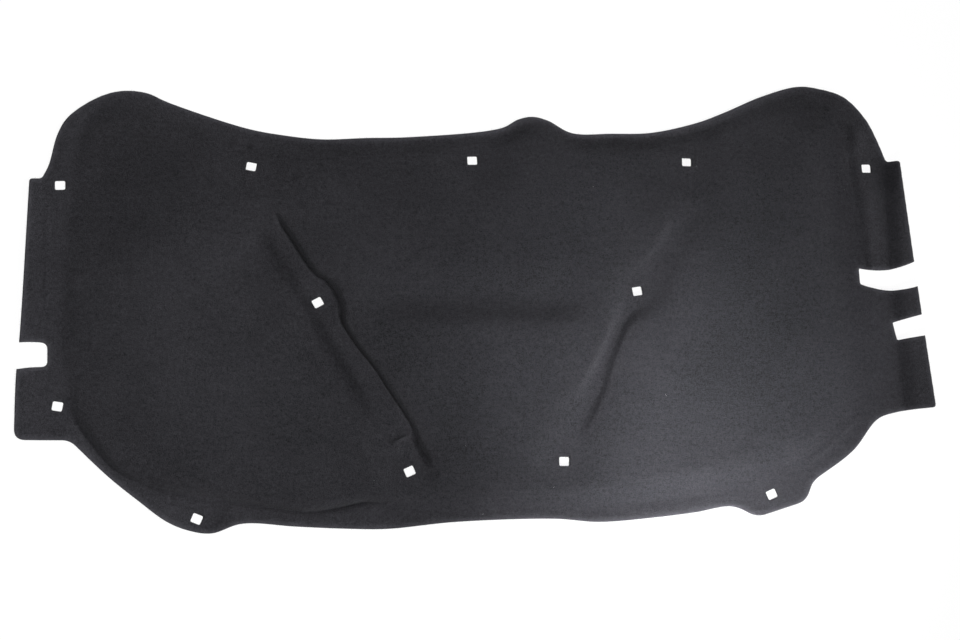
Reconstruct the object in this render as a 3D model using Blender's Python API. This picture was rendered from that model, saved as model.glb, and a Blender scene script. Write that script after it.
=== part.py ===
"""Moulded felt insulation pad for the underside of a car's hood, as one pressed sheet.

The sheet is pressed thin and flat along its edge and round each clip hole, and is left thick and soft in
between, as a raised body with a hollow behind it. Two channels clear the hood's diagonal ribs, and a shallow
valley crosses the middle. Flat tabs stand out at the sides, each cut by notches for hinges and cables.

Metres, +Z up. The pad lies on its back, as if on a table, with the side that faces the engine up. +X runs
along its length and +Y to its windscreen edge. The origin is under the middle of its outline.
"""

import math

import bmesh
import bpy
import numpy as np
from mathutils.geometry import delaunay_2d_cdt

# Overall size of the cut sheet. The plan further down is drawn in metres and then fitted to it.
PAD_LENGTH = 1.190
PAD_WIDTH = 0.583

# Felt: how thick it is at the edge and on the body, the hollow behind the body, and the slope up to it
EDGE_THICKNESS = 0.003
BODY_THICKNESS = 0.009
BODY_HOLLOW = 0.0045
BODY_SHOULDER = 0.019

# Clip holes: their side, the radius of their corners, and the flat disc pressed round each
CLIP_HOLE = 0.0135
CLIP_HOLE_CORNER = 0.0032
CLIP_LAND_RADIUS = 0.0145
CLIP_LAND_SHOULDER = 0.013
CLIP_HOLES = {
    "left_tab_upper": (-0.5400, 0.1671, 0),
    "left_tab_lower": (-0.5434, -0.1178, -11),
    "left_lobe": (-0.3735, -0.2650, -24),
    "left_channel_top": (-0.2965, 0.1868, -12),
    "left_channel_middle": (-0.2155, 0.0046, 27),
    "left_channel_end": (-0.1054, -0.2167, 22),
    "centre": (-0.0067, 0.1900, 0),
    "right_channel_end": (0.0941, -0.2118, -3),
    "right_channel_middle": (0.2041, 0.0082, 7),
    "right_channel_top": (0.2825, 0.1821, -3),
    "right_lobe": (0.3654, -0.2652, 21),
    "right_tab_upper": (0.5320, 0.1692, 0),
}

# Rib channels: how far their floor lies below the body. A wall's width is how far it takes to rise.
CHANNEL_DEPTH = 0.0085
SOFT_WALL = 0.018
FIRM_WALL = 0.010
SHARP_WALL = 0.0035

# Valley across the middle, its depth and its half width
VALLEY_DEPTH = 0.003
VALLEY_HALF_WIDTH = 0.045
VALLEY_FADE = 0.07

# Side tabs: their cut corners, and how far their outer strip curls up beyond the fold
TAB_CORNER = 0.004
TAB_LOWER_CORNER = 0.014
TAB_ROOT_CORNER = 0.010
TAB_CURL = 0.008
TAB_CURL_WIDTH = 0.016

# Flat flange along the lower left edge, which lifts a little beyond a narrow crease
FLANGE_LIFT = 0.0035
CREASE_DEPTH = 0.0015
CREASE_HALF_WIDTH = 0.003

# Corners of the two lobes along the lower edge
LOBE_CORNER = 0.012

# Notches: the middle of the mouth, the way out, the width there and at the inner end, the depth, how far
# the long sides sag in their middle, and the radius of the inner corners
NOTCHES = {
    "left_hinge": ((-0.5905, -0.0525), 180, 0.034, 0.031, 0.035, 0.001, 0.008),
    "right_hinge": ((0.5860, 0.0205), 0, 0.035, 0.022, 0.077, 0.007, 0.002),
    "cable": ((0.5890, -0.0495), 10, 0.029, 0.025, 0.039, 0, 0.002),
}

# Fineness of the mesh, and how far its flat facets may lie from the true shape
EDGE_STEP = 0.015
INNER_STEP = 0.032
LEAST_STEP = 0.0024
SHAPE_TOLERANCE = 0.0007
REFINING_ROUNDS = 3
CURVE_POINTS = 16
CORNER_POINTS = 3
NOTCH_SIDE_POINTS = 5
LAND_POINTS = 12
CUT_CLEARANCE = 0.02
CUTTER_HEIGHT = 2 * (BODY_HOLLOW + BODY_THICKNESS + TAB_CURL + CUT_CLEARANCE)

FELT_COLOUR = (0.028, 0.028, 0.030, 1)
FELT_ROUGHNESS = 0.95

# The cut edge of the sheet without its notches, from the left tab's upper corner and anticlockwise.
# A point with a third number is a corner, rounded over that length. The curve is smooth at the others.
CUT_EDGE = [
    (-0.5778, 0.1763, TAB_CORNER),
    (-0.5885, -0.0191),
    (-0.5936, -0.0826),
    (-0.5956, -0.1579, TAB_LOWER_CORNER),
    (-0.5276, -0.1609, TAB_ROOT_CORNER),
    (-0.4803, -0.2086),
    (-0.4443, -0.2395),
    (-0.4100, -0.2667),
    (-0.3843, -0.2785),
    (-0.3556, -0.2835),
    (-0.3172, -0.2733),
    (-0.2500, -0.2798),
    (-0.1883, -0.2851),
    (-0.1364, -0.2875),
    (-0.0484, -0.2825),
    (0.0786, -0.2841),
    (0.1361, -0.2906),
    (0.2114, -0.2878),
    (0.2620, -0.2838),
    (0.3124, -0.2785),
    (0.3442, -0.2935, LOBE_CORNER),
    (0.4107, -0.2755, LOBE_CORNER),
    (0.4222, -0.2499, LOBE_CORNER),
    (0.4799, -0.2123),
    (0.5157, -0.1728),
    (0.5425, -0.1642),
    (0.5949, -0.1597, TAB_CORNER),
    (0.5868, -0.0222),
    (0.5769, 0.1769, TAB_CORNER),
    (0.5608, 0.1771, TAB_CORNER),
    (0.5518, 0.2030),
    (0.5365, 0.2380),
    (0.5084, 0.2697),
    (0.4681, 0.2844),
    (0.4426, 0.2859),
    (0.3925, 0.2723),
    (0.3393, 0.2506),
    (0.3024, 0.2375),
    (0.2386, 0.2245),
    (0.1830, 0.2240),
    (0.1292, 0.2258),
    (0.0977, 0.2435),
    (0.0774, 0.2491),
    (0.0580, 0.2457),
    (0.0345, 0.2341),
    (-0.0866, 0.2238),
    (-0.1460, 0.2234),
    (-0.2049, 0.2226),
    (-0.2561, 0.2292),
    (-0.3021, 0.2391),
    (-0.4021, 0.2756),
    (-0.4301, 0.2888),
    (-0.4619, 0.2919),
    (-0.4925, 0.2833),
    (-0.5297, 0.2579),
    (-0.5430, 0.2351),
    (-0.5542, 0.1938),
    (-0.5627, 0.1765, TAB_CORNER),
]

# The foot of the raised body, where it meets the flat edge, from the upper left and anticlockwise
BODY_FOOT = [
    (-0.514, 0.241), (-0.525, 0.210), (-0.530, 0.156), (-0.534, 0.039), (-0.538, -0.038), (-0.535, -0.101),
    (-0.524, -0.132), (-0.501, -0.165), (-0.472, -0.200), (-0.426, -0.224), (-0.370, -0.237),
    (-0.313, -0.252), (-0.238, -0.266), (-0.195, -0.261), (-0.165, -0.254), (-0.132, -0.257),
    (-0.094, -0.271), (-0.018, -0.277), (0.086, -0.279), (0.164, -0.276), (0.236, -0.268), (0.302, -0.260),
    (0.357, -0.246), (0.411, -0.235), (0.443, -0.216), (0.478, -0.187), (0.506, -0.162), (0.526, -0.123),
    (0.532, -0.068), (0.526, -0.016), (0.525, 0.050), (0.523, 0.114), (0.521, 0.168), (0.519, 0.204),
    (0.516, 0.236), (0.501, 0.259), (0.470, 0.275), (0.442, 0.277), (0.406, 0.267), (0.362, 0.249),
    (0.305, 0.229), (0.250, 0.218), (0.167, 0.217), (0.129, 0.219), (0.102, 0.234), (0.079, 0.240),
    (0.057, 0.236), (0.030, 0.225), (-0.075, 0.218), (-0.154, 0.215), (-0.220, 0.217), (-0.271, 0.225),
    (-0.314, 0.236), (-0.362, 0.254), (-0.409, 0.272), (-0.434, 0.281), (-0.461, 0.283), (-0.488, 0.272),
]

# The floor of each channel, anticlockwise, with the width of the wall that rises from it there
LEFT_CHANNEL = [
    (-0.283, 0.158, SOFT_WALL), (-0.296, 0.149, SOFT_WALL), (-0.289, 0.132, SOFT_WALL),
    (-0.245, 0.055, SOFT_WALL), (-0.221, 0.012, FIRM_WALL), (-0.196, -0.039, SOFT_WALL),
    (-0.159, -0.115, SOFT_WALL), (-0.134, -0.170, SOFT_WALL), (-0.124, -0.215, SOFT_WALL),
    (-0.109, -0.236, SOFT_WALL), (-0.089, -0.233, FIRM_WALL), (-0.081, -0.215, SHARP_WALL),
    (-0.096, -0.174, SHARP_WALL), (-0.123, -0.123, SHARP_WALL), (-0.166, -0.053, SHARP_WALL),
    (-0.184, -0.023, SHARP_WALL), (-0.190, 0.009, SHARP_WALL), (-0.205, 0.032, SHARP_WALL),
    (-0.226, 0.050, SHARP_WALL), (-0.259, 0.106, SHARP_WALL), (-0.269, 0.134, FIRM_WALL),
]
RIGHT_CHANNEL = [
    (0.271, 0.158, FIRM_WALL), (0.261, 0.132, FIRM_WALL), (0.233, 0.076, FIRM_WALL),
    (0.207, 0.050, FIRM_WALL), (0.192, 0.030, FIRM_WALL), (0.187, -0.001, FIRM_WALL),
    (0.168, -0.047, FIRM_WALL), (0.131, -0.113, FIRM_WALL), (0.095, -0.173, SOFT_WALL),
    (0.082, -0.208, SOFT_WALL), (0.084, -0.230, SOFT_WALL), (0.103, -0.228, SOFT_WALL),
    (0.109, -0.201, SOFT_WALL), (0.120, -0.167, FIRM_WALL), (0.143, -0.121, FIRM_WALL),
    (0.178, -0.053, FIRM_WALL), (0.213, -0.000, FIRM_WALL), (0.229, 0.036, FIRM_WALL),
    (0.259, 0.091, SOFT_WALL), (0.278, 0.132, SOFT_WALL), (0.283, 0.159, FIRM_WALL),
]

# Pressed pocket round the clip hole at the middle of the windscreen edge
CENTRE_POCKET = [
    (-0.024, 0.200, FIRM_WALL), (-0.029, 0.178, SOFT_WALL), (-0.017, 0.160, SOFT_WALL),
    (0.005, 0.159, SOFT_WALL), (0.019, 0.180, SOFT_WALL), (0.014, 0.202, FIRM_WALL),
]

VALLEY = [(-0.173, 0.011), (-0.069, 0.008), (0.041, 0.006), (0.137, 0.002)]
RIGHT_FOLD = [(0.562, -0.186), (0.558, -0.076), (0.554, 0.033), (0.557, 0.140), (0.562, 0.206)]
LEFT_FLANGE = [(-0.511, -0.149), (-0.472, -0.200), (-0.370, -0.237), (-0.238, -0.266), (-0.155, -0.258)]


def empty_scene():
    for obj in list(bpy.data.objects):
        bpy.data.objects.remove(obj, do_unlink=True)


def new_collection(name):
    collection = bpy.data.collections.new(name)
    bpy.context.scene.collection.children.link(collection)
    return collection


def felt_material():
    material = bpy.data.materials.new("felt")
    material.use_nodes = True
    shader = material.node_tree.nodes["Principled BSDF"]
    shader.inputs["Base Color"].default_value = FELT_COLOUR
    shader.inputs["Roughness"].default_value = FELT_ROUGHNESS
    shader.inputs["Metallic"].default_value = 0
    return material


def lengths_along(points):
    """Distance along a line of points to each of them."""
    return np.concatenate([[0], np.cumsum(np.linalg.norm(np.diff(points[:, :2], axis=0), axis=1))])


def spaced(points, step):
    """The same line with points about one step apart. Numbers beyond x and y are carried along."""
    along = lengths_along(points)
    count = max(1, round(along[-1] / step))
    places = np.linspace(0, along[-1], count + 1)
    return np.stack([np.interp(places, along, column) for column in points.T], axis=1)


def smooth_line(points, step, closed=False):
    """A smooth curve through the points, drawn with points about one step apart."""
    points = np.array(points, float)
    if len(points) == 2:
        return spaced(points, step)
    if closed:
        points = np.vstack([points[-1:], points, points[:2]])
    else:
        points = np.vstack([2 * points[0] - points[1], points, 2 * points[-1] - points[-2]])
    chords = np.sqrt(np.linalg.norm(np.diff(points[:, :2], axis=0), axis=1))
    knots = np.concatenate([[0], np.cumsum(chords)])
    drawn = []
    for i in range(1, len(points) - 2):
        before, start, end, after = points[i - 1 : i + 3]
        t0, t1, t2, t3 = knots[i - 1 : i + 3]
        middle = (end - start) / (t2 - t1)
        leave = (t2 - t1) * ((start - before) / (t1 - t0) - (end - before) / (t2 - t0) + middle)
        arrive = (t2 - t1) * (middle - (after - start) / (t3 - t1) + (after - end) / (t3 - t2))
        for t in np.linspace(0, 1, CURVE_POINTS, endpoint=False):
            drawn.append(
                (2 * t**3 - 3 * t**2 + 1) * start
                + (t**3 - 2 * t**2 + t) * leave
                + (3 * t**2 - 2 * t**3) * end
                + (t**3 - t**2) * arrive
            )
    drawn.append(points[-2])
    return spaced(np.array(drawn), step)


def cut_back(line, length):
    """The line without its first stretch of this length, which is at most half of it."""
    along = lengths_along(line)
    length = min(length, along[-1] / 2)
    start = [np.interp(length, along, column) for column in line.T]
    return np.vstack([start, line[along > length + 1e-9]])


def edge_with_corners(points, step):
    """A closed outline: smooth between its corners, and each corner rounded over its own length."""
    corners = [i for i, point in enumerate(points) if len(point) == 3]
    outline = []
    for here, there in zip(corners, corners[1:] + [corners[0] + len(points)]):
        stretch = [points[i % len(points)] for i in range(here, there + 1)]
        line = smooth_line([point[:2] for point in stretch], step)
        line = cut_back(line, stretch[0][2])
        line = cut_back(line[::-1], stretch[-1][2])[::-1]
        outline.append((line, stretch[-1]))
    drawn = []
    for i, (line, corner) in enumerate(outline):
        drawn.extend(line)
        following = outline[(i + 1) % len(outline)][0]
        for t in np.linspace(0, 1, CORNER_POINTS + 2)[1:-1]:
            bend = (1 - t) ** 2 * line[-1] + 2 * t * (1 - t) * np.array(corner[:2]) + t**2 * following[0]
            drawn.append(bend)
    return np.array(drawn)


def closed_line(points, step):
    """A smooth closed line, without its first point again at its end."""
    return smooth_line(points, step, closed=True)[:-1]


def nearest(places, line, closed):
    """Distance from each place to the line, and the line's further numbers at the nearest point."""
    starts = line if closed else line[:-1]
    ends = np.roll(line, -1, axis=0) if closed else line[1:]
    best = np.full(len(places), np.inf)
    carried = np.zeros((len(places), line.shape[1] - 2))
    for start, end in zip(starts, ends):
        run = end[:2] - start[:2]
        t = np.clip((places - start[:2]) @ run / max(run @ run, 1e-12), 0, 1)
        distance = np.linalg.norm(places - start[:2] - t[:, None] * run, axis=1)
        closer = distance < best
        best[closer] = distance[closer]
        carried[closer] = start[2:] + t[closer, None] * (end[2:] - start[2:])
    return best, carried


def within(places, outline):
    """Whether each place lies inside the closed outline."""
    inside = np.zeros(len(places), bool)
    for (ax, ay), (bx, by) in zip(outline[:, :2], np.roll(outline[:, :2], -1, axis=0)):
        spans = (ay > places[:, 1]) != (by > places[:, 1])
        if ay != by:
            crossing = ax + (places[:, 1] - ay) * (bx - ax) / (by - ay)
            inside ^= spans & (places[:, 0] < crossing)
    return inside


def beyond(places, line):
    """Distance to the right of an open line, seen along it, and 0 on its left."""
    distance, _ = nearest(places, line, closed=False)
    outside = np.zeros(len(places))
    best = np.full(len(places), np.inf)
    for start, end in zip(line[:-1], line[1:]):
        run = end - start
        t = np.clip((places - start) @ run / (run @ run), 0, 1)
        away = places - start - t[:, None] * run
        gap = np.linalg.norm(away, axis=1)
        side = away[:, 0] * run[1] - away[:, 1] * run[0]
        closer = gap < best
        best[closer] = gap[closer]
        outside[closer] = side[closer] > 0
    return distance * outside


def eased(t):
    """0 to 1, level at both ends."""
    t = np.clip(t, 0, 1)
    return t * t * (3 - 2 * t)


def offset_line(line, distance, closed=True):
    """The line moved to its right, seen along it, by one distance or by one for each point."""
    if closed:
        run = np.roll(line, -1, axis=0)[:, :2] - np.roll(line, 1, axis=0)[:, :2]
    else:
        run = np.gradient(line[:, :2], axis=0)
    run /= np.linalg.norm(run, axis=1)[:, None]
    moved = line.copy()
    moved[:, 0] += run[:, 1] * distance
    moved[:, 1] -= run[:, 0] * distance
    return moved


class Plan:
    """Fits the drawn plan to the pad's length and width, with the middle of its outline at the origin."""

    def __init__(self):
        drawn = edge_with_corners(CUT_EDGE, EDGE_STEP)
        low, high = drawn.min(axis=0), drawn.max(axis=0)
        self.middle = (low + high) / 2
        self.stretch = np.array([PAD_LENGTH, PAD_WIDTH]) / (high - low)

    def place(self, point):
        """A drawn point in the pad's frame. Numbers beyond x and y stay as they are."""
        x, y = (np.array(point[:2]) - self.middle) * self.stretch
        return (x, y, *point[2:])

    def places(self, points):
        return [self.place(point) for point in points]


class Relief:
    """The height of the pad's two faces over any place inside its outline."""

    def __init__(self, plan):
        self.foot = closed_line(plan.places(BODY_FOOT), EDGE_STEP)
        floors = (LEFT_CHANNEL, RIGHT_CHANNEL, CENTRE_POCKET)
        self.channels = [closed_line(plan.places(floor), EDGE_STEP) for floor in floors]
        self.valley = smooth_line(plan.places(VALLEY), EDGE_STEP)
        self.right_fold = smooth_line(plan.places(RIGHT_FOLD), EDGE_STEP)
        self.left_flange = smooth_line(plan.places(LEFT_FLANGE), EDGE_STEP)
        self.clip_holes = plan.places(CLIP_HOLES.values())

    def loft(self, places):
        """How far the felt has risen: 0 where it is pressed flat, 1 on the full body."""
        distance, _ = nearest(places, self.foot, closed=True)
        risen = eased(np.where(within(places, self.foot), distance, 0) / BODY_SHOULDER)
        full_rise = BODY_HOLLOW + BODY_THICKNESS - EDGE_THICKNESS
        for floor in self.channels:
            distance, wall = nearest(places, floor, closed=True)
            outside = np.where(within(places, floor), 0, distance)
            risen *= 1 - CHANNEL_DEPTH / full_rise * (1 - eased(outside / wall[:, 0]))
        return risen * self.off_lands(places)

    def lift(self, places):
        """How far the flat edge curls up off the table."""
        right = TAB_CURL * eased(beyond(places, self.right_fold) / TAB_CURL_WIDTH)
        run = lengths_along(self.left_flange)
        _, along = nearest(places, np.column_stack([self.left_flange, run]), closed=False)
        from_end = np.minimum(along[:, 0], run[-1] - along[:, 0])
        fade = eased(from_end / (run[-1] / 4))
        left = FLANGE_LIFT * fade * eased(beyond(places, self.left_flange) / BODY_SHOULDER)
        return (right + left) * self.off_lands(places)

    def off_lands(self, places):
        """0 on the flat disc round each clip hole, rising to 1 beyond its shoulder."""
        off = np.ones(len(places))
        for x, y, _ in self.clip_holes:
            distance = np.linalg.norm(places - (x, y), axis=1)
            off *= eased((distance - CLIP_LAND_RADIUS) / CLIP_LAND_SHOULDER)
        return off

    def heights(self, places):
        """The underside and the upper side."""
        risen = self.loft(places)
        under = BODY_HOLLOW * risen + self.lift(places)
        upper = under + EDGE_THICKNESS + (BODY_THICKNESS - EDGE_THICKNESS) * risen
        distance, _ = nearest(places, self.valley, closed=False)
        fade = eased((VALLEY_HALF_WIDTH - distance) / VALLEY_HALF_WIDTH)
        ends = np.minimum(places[:, 0] - self.valley[0, 0], self.valley[-1, 0] - places[:, 0])
        upper -= VALLEY_DEPTH * fade * eased(ends / VALLEY_FADE)
        distance, _ = nearest(places, self.left_flange, closed=False)
        upper -= CREASE_DEPTH * np.clip(1 - distance / CREASE_HALF_WIDTH, 0, 1)
        return under, upper

    def lines(self):
        """The lines that the mesh follows, as (points, closed)."""
        for part in (0, 0.25, 0.5, 0.75, 1):
            yield offset_line(self.foot, -part * BODY_SHOULDER), True
        for floor in self.channels:
            for part in (0, 0.5, 1):
                yield offset_line(floor, part * floor[:, 2]), True
        yield self.valley, False
        for side in (-0.5, 0.5):
            yield offset_line(self.valley, side * VALLEY_HALF_WIDTH, closed=False), False
        for part in (0, 0.5, 1):
            yield offset_line(self.right_fold, part * TAB_CURL_WIDTH, closed=False), False
        for side in (-1, 1):
            yield offset_line(self.left_flange, side * CREASE_HALF_WIDTH, closed=False), False

    def rings(self):
        """Rings of points round each clip hole: one round its flat disc and two up the shoulder."""
        angles = np.linspace(0, 2 * math.pi, LAND_POINTS, endpoint=False)
        turned = np.column_stack([np.cos(angles), np.sin(angles)])
        for x, y, _ in self.clip_holes:
            for part in (0, 0.5, 1):
                yield (x, y) + (CLIP_LAND_RADIUS + part * CLIP_LAND_SHOULDER) * turned


class PointBag:
    """Points for the mesh. Each is kept only at its least distance from those already in."""

    def __init__(self, outline):
        self.outline = outline
        self.points = [tuple(point) for point in outline]
        self.rim = list(range(len(outline)))
        self.edges = []

    def add_line(self, line, closed, least):
        """Adds a line's points, and the edges between neighbours that are both kept."""
        inside = within(line[:, :2], self.outline)
        kept = [self.add(place, least) if held else None for place, held in zip(line[:, :2], inside)]
        pairs = list(zip(kept, kept[1:] + kept[:1] if closed else kept[1:]))
        self.edges += [pair for pair in pairs if None not in pair]

    def add(self, place, least):
        known = np.array(self.points)
        if np.linalg.norm(known - place, axis=1).min() < least:
            return None
        self.points.append(tuple(place))
        return len(self.points) - 1


    def triangles(self):
        """The points and the triangles between them, inside the outline."""
        points, _, faces, *_ = delaunay_2d_cdt(self.points, self.edges, [self.rim], 1, 1e-7)
        return np.array([tuple(point) for point in points]), faces

    def refine(self, relief):
        """Adds the middles of inner edges that miss the true shape, the worst ones first."""
        points, faces = self.triangles()
        corners = np.array([(a, b) for face in faces for a, b in zip(face, face[1:] + face[:1])])
        edges, uses = np.unique(np.sort(corners, axis=1), axis=0, return_counts=True)
        edges = edges[uses == 2]
        middles = points[edges].mean(axis=1)
        heights = np.stack(relief.heights(points))
        miss = np.abs(heights[:, edges].mean(axis=2) - np.stack(relief.heights(middles))).max(axis=0)
        for i in np.argsort(-miss)[: (miss > SHAPE_TOLERANCE).sum()]:
            self.add(middles[i], LEAST_STEP)


def sheet_triangles(outline, relief):
    """Points and triangles of the flat sheet, finer where its shape turns."""
    bag = PointBag(outline)
    for line, closed in relief.lines():
        bag.add_line(line, closed, LEAST_STEP)
    for ring in relief.rings():
        for place in ring[within(ring, outline)]:
            bag.add(place, 2 * LEAST_STEP)
    low, high = outline.min(axis=0), outline.max(axis=0)
    row_step = INNER_STEP * math.sqrt(3) / 2
    for row in range(int((high[1] - low[1]) / row_step) + 1):
        y = low[1] + (row + 0.5) * row_step
        xs = np.arange(low[0] + INNER_STEP * (row % 2) / 2, high[0], INNER_STEP)
        places = np.column_stack([xs, np.full(len(xs), y)])
        for place in places[within(places, outline)]:
            bag.add(place, INNER_STEP / 2)
    for _ in range(REFINING_ROUNDS):
        bag.refine(relief)
    return bag.triangles()


def felt_sheet(outline, relief, collection, material):
    """The uncut sheet: its flat triangles, lofted between an underside and an upper side."""
    points, faces = sheet_triangles(outline, relief)
    under, upper = relief.heights(points)
    sheet = bmesh.new()
    upper_height = sheet.verts.layers.float.new("upper_height")
    verts = []
    for (x, y), low, high in zip(points, under, upper):
        vert = sheet.verts.new((x, y, low))
        vert[upper_height] = high
        verts.append(vert)
    for face in faces:
        sheet.faces.new([verts[i] for i in face])
    raised = bmesh.ops.extrude_face_region(sheet, geom=sheet.faces[:])
    for item in raised["geom"]:
        if isinstance(item, bmesh.types.BMVert):
            item.co.z = item[upper_height]
    bmesh.ops.recalc_face_normals(sheet, faces=sheet.faces)
    return mesh_object("insulation_pad", sheet, collection, material)


def mesh_object(name, shape, collection, material=None):
    mesh = bpy.data.meshes.new(name)
    shape.to_mesh(mesh)
    shape.free()
    if material:
        mesh.materials.append(material)
    obj = bpy.data.objects.new(name, mesh)
    collection.objects.link(obj)
    return obj


def upright_edges(shape):
    return [edge for edge in shape.edges if abs(edge.verts[0].co.z - edge.verts[1].co.z) > CUTTER_HEIGHT / 2]


def round_off(shape, edges, radius, segments):
    bmesh.ops.bevel(shape, geom=edges, offset=radius, segments=segments, profile=0.5, affect="EDGES")


def place_cutter(cutter, place, turn):
    cutter.location = (*place, 0)
    cutter.rotation_euler.z = math.radians(turn)
    cutter.hide_render = True
    cutter.display_type = "WIRE"


def clip_hole_cutter(name, place, turn, collection):
    """A square post with round corners."""
    post = bmesh.new()
    bmesh.ops.create_cube(post, size=1)
    bmesh.ops.scale(post, vec=(CLIP_HOLE, CLIP_HOLE, CUTTER_HEIGHT), verts=post.verts)
    round_off(post, upright_edges(post), min(CLIP_HOLE_CORNER, 0.45 * CLIP_HOLE), segments=3)
    place_cutter(mesh_object(name, post, collection), place, turn)


def notch_cutter(name, mouth, turn, mouth_width, inner_width, depth, sag, corner, collection):
    """A tapered slot from the edge inwards, whose long sides sag, as a block with a rounded inner end."""
    sides = []
    for side in (-0.5, 0.5):
        places = [
            (-depth * t, side * (mouth_width + (inner_width - mouth_width) * t) - 4 * sag * t * (1 - t))
            for t in np.linspace(0, 1, NOTCH_SIDE_POINTS)
        ]
        sides.append([(CUT_CLEARANCE, places[0][1]), *places])
    outline = sides[0] + sides[1][::-1]
    block = bmesh.new()
    floor = block.faces.new([block.verts.new((x, y, -CUTTER_HEIGHT / 2)) for x, y in outline])
    raised = bmesh.ops.extrude_face_region(block, geom=[floor])
    tops = [item for item in raised["geom"] if isinstance(item, bmesh.types.BMVert)]
    bmesh.ops.translate(block, vec=(0, 0, CUTTER_HEIGHT), verts=tops)
    bmesh.ops.recalc_face_normals(block, faces=block.faces)
    inner = [edge for edge in upright_edges(block) if edge.verts[0].co.x < -0.99 * depth]
    round_off(block, inner, min(corner, 0.45 * inner_width, 0.2 * depth), segments=4)
    place_cutter(mesh_object(name, block, collection), mouth, turn)


def cut(pad, cutters):
    boolean = pad.modifiers.new("holes and notches", "BOOLEAN")
    boolean.operation = "DIFFERENCE"
    boolean.operand_type = "COLLECTION"
    boolean.collection = cutters
    boolean.solver = "EXACT"


def main():
    empty_scene()
    part = new_collection("hood_insulation_pad")
    cutters = new_collection("cutters")
    plan = Plan()
    outline = edge_with_corners(plan.places(CUT_EDGE), EDGE_STEP)
    pad = felt_sheet(outline, Relief(plan), part, felt_material())
    for name, hole in CLIP_HOLES.items():
        x, y, turn = plan.place(hole)
        clip_hole_cutter(f"{name}_hole", (x, y), turn, cutters)
    for name, (mouth, *sizes) in NOTCHES.items():
        notch_cutter(f"{name}_notch", plan.place(mouth), *sizes, collection=cutters)
    cut(pad, cutters)


main()
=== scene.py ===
"""Looks of the hood insulation pad: one sheet of moulded felt, lying on its back on a white studio floor.

The pad's own class draws its plan, works out the height of both faces over every place in it, and makes a
fine closed mesh. A short cloth simulation lets the felt belly between its pressed lines. Loose fibres stand
on the cut edges and on the surface. All sizes are in metres, in the same frame as the CAD.
"""

import logging
import math
from collections.abc import Iterable, Iterator, Sequence
from dataclasses import dataclass, field
from enum import Enum

import bpy
import numpy as np
from mathutils import Matrix, Vector
from mathutils import noise as solid_noise
from mathutils.geometry import delaunay_2d_cdt
from mathutils.kdtree import KDTree


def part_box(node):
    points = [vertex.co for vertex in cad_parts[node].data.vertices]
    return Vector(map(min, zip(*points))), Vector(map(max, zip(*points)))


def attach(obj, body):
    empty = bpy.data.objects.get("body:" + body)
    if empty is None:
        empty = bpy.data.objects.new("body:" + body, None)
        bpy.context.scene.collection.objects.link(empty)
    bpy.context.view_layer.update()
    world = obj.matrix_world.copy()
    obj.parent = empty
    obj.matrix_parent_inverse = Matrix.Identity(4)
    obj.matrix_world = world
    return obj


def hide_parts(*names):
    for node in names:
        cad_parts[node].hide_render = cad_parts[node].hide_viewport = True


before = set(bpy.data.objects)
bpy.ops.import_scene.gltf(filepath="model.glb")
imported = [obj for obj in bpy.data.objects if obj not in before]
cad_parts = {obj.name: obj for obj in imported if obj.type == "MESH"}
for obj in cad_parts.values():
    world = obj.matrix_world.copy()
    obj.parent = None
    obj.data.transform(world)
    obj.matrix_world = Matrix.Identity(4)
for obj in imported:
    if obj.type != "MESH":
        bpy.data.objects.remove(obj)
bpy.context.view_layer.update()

log = logging.getLogger("hood_insulation_pad")

CAD_NODE = "insulation_pad"
BODY = "root"
FACES_UP = 0.3

Point = tuple[float, ...]


def carrying(numbers: Point, *places: Point) -> tuple[Point, ...]:
    """Places on a line that all carry the same numbers, such as the width of a wall."""
    return tuple((*place, *numbers) for place in places)


def plan_of(points: tuple[Point, ...]) -> tuple[Point, ...]:
    """Only x and y of each point."""
    return tuple(point[:2] for point in points)


# The cut edge without its notches, from the left tab's upper corner and anticlockwise.
# A point with a third number is a corner, rounded over that length.
CUT_EDGE: tuple[Point, ...] = (
    (-0.5778, 0.1763, 0.004), (-0.5885, -0.0191), (-0.5936, -0.0826), (-0.5956, -0.1579, 0.014),
    (-0.5276, -0.1609, 0.010), (-0.4803, -0.2086), (-0.4443, -0.2395), (-0.4100, -0.2667),
    (-0.3843, -0.2785), (-0.3556, -0.2835), (-0.3172, -0.2733), (-0.2500, -0.2798), (-0.1883, -0.2851),
    (-0.1364, -0.2875), (-0.0484, -0.2825), (0.0786, -0.2841), (0.1361, -0.2906), (0.2114, -0.2878),
    (0.2620, -0.2838), (0.3124, -0.2785), (0.3442, -0.2935, 0.012), (0.4107, -0.2755, 0.012),
    (0.4222, -0.2499, 0.012), (0.4799, -0.2123), (0.5157, -0.1728), (0.5425, -0.1642),
    (0.5949, -0.1597, 0.004), (0.5868, -0.0222), (0.5769, 0.1769, 0.004), (0.5608, 0.1771, 0.004),
    (0.5518, 0.2030), (0.5365, 0.2380), (0.5084, 0.2697), (0.4681, 0.2844), (0.4426, 0.2859),
    (0.3925, 0.2723), (0.3393, 0.2506), (0.3024, 0.2375), (0.2386, 0.2245), (0.1830, 0.2240),
    (0.1292, 0.2258), (0.0977, 0.2435), (0.0774, 0.2491), (0.0580, 0.2457), (0.0345, 0.2341),
    (-0.0866, 0.2238), (-0.1460, 0.2234), (-0.2049, 0.2226), (-0.2561, 0.2292), (-0.3021, 0.2391),
    (-0.4021, 0.2756), (-0.4301, 0.2888), (-0.4619, 0.2919), (-0.4925, 0.2833), (-0.5297, 0.2579),
    (-0.5430, 0.2351), (-0.5542, 0.1938), (-0.5627, 0.1765, 0.004),
)

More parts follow.
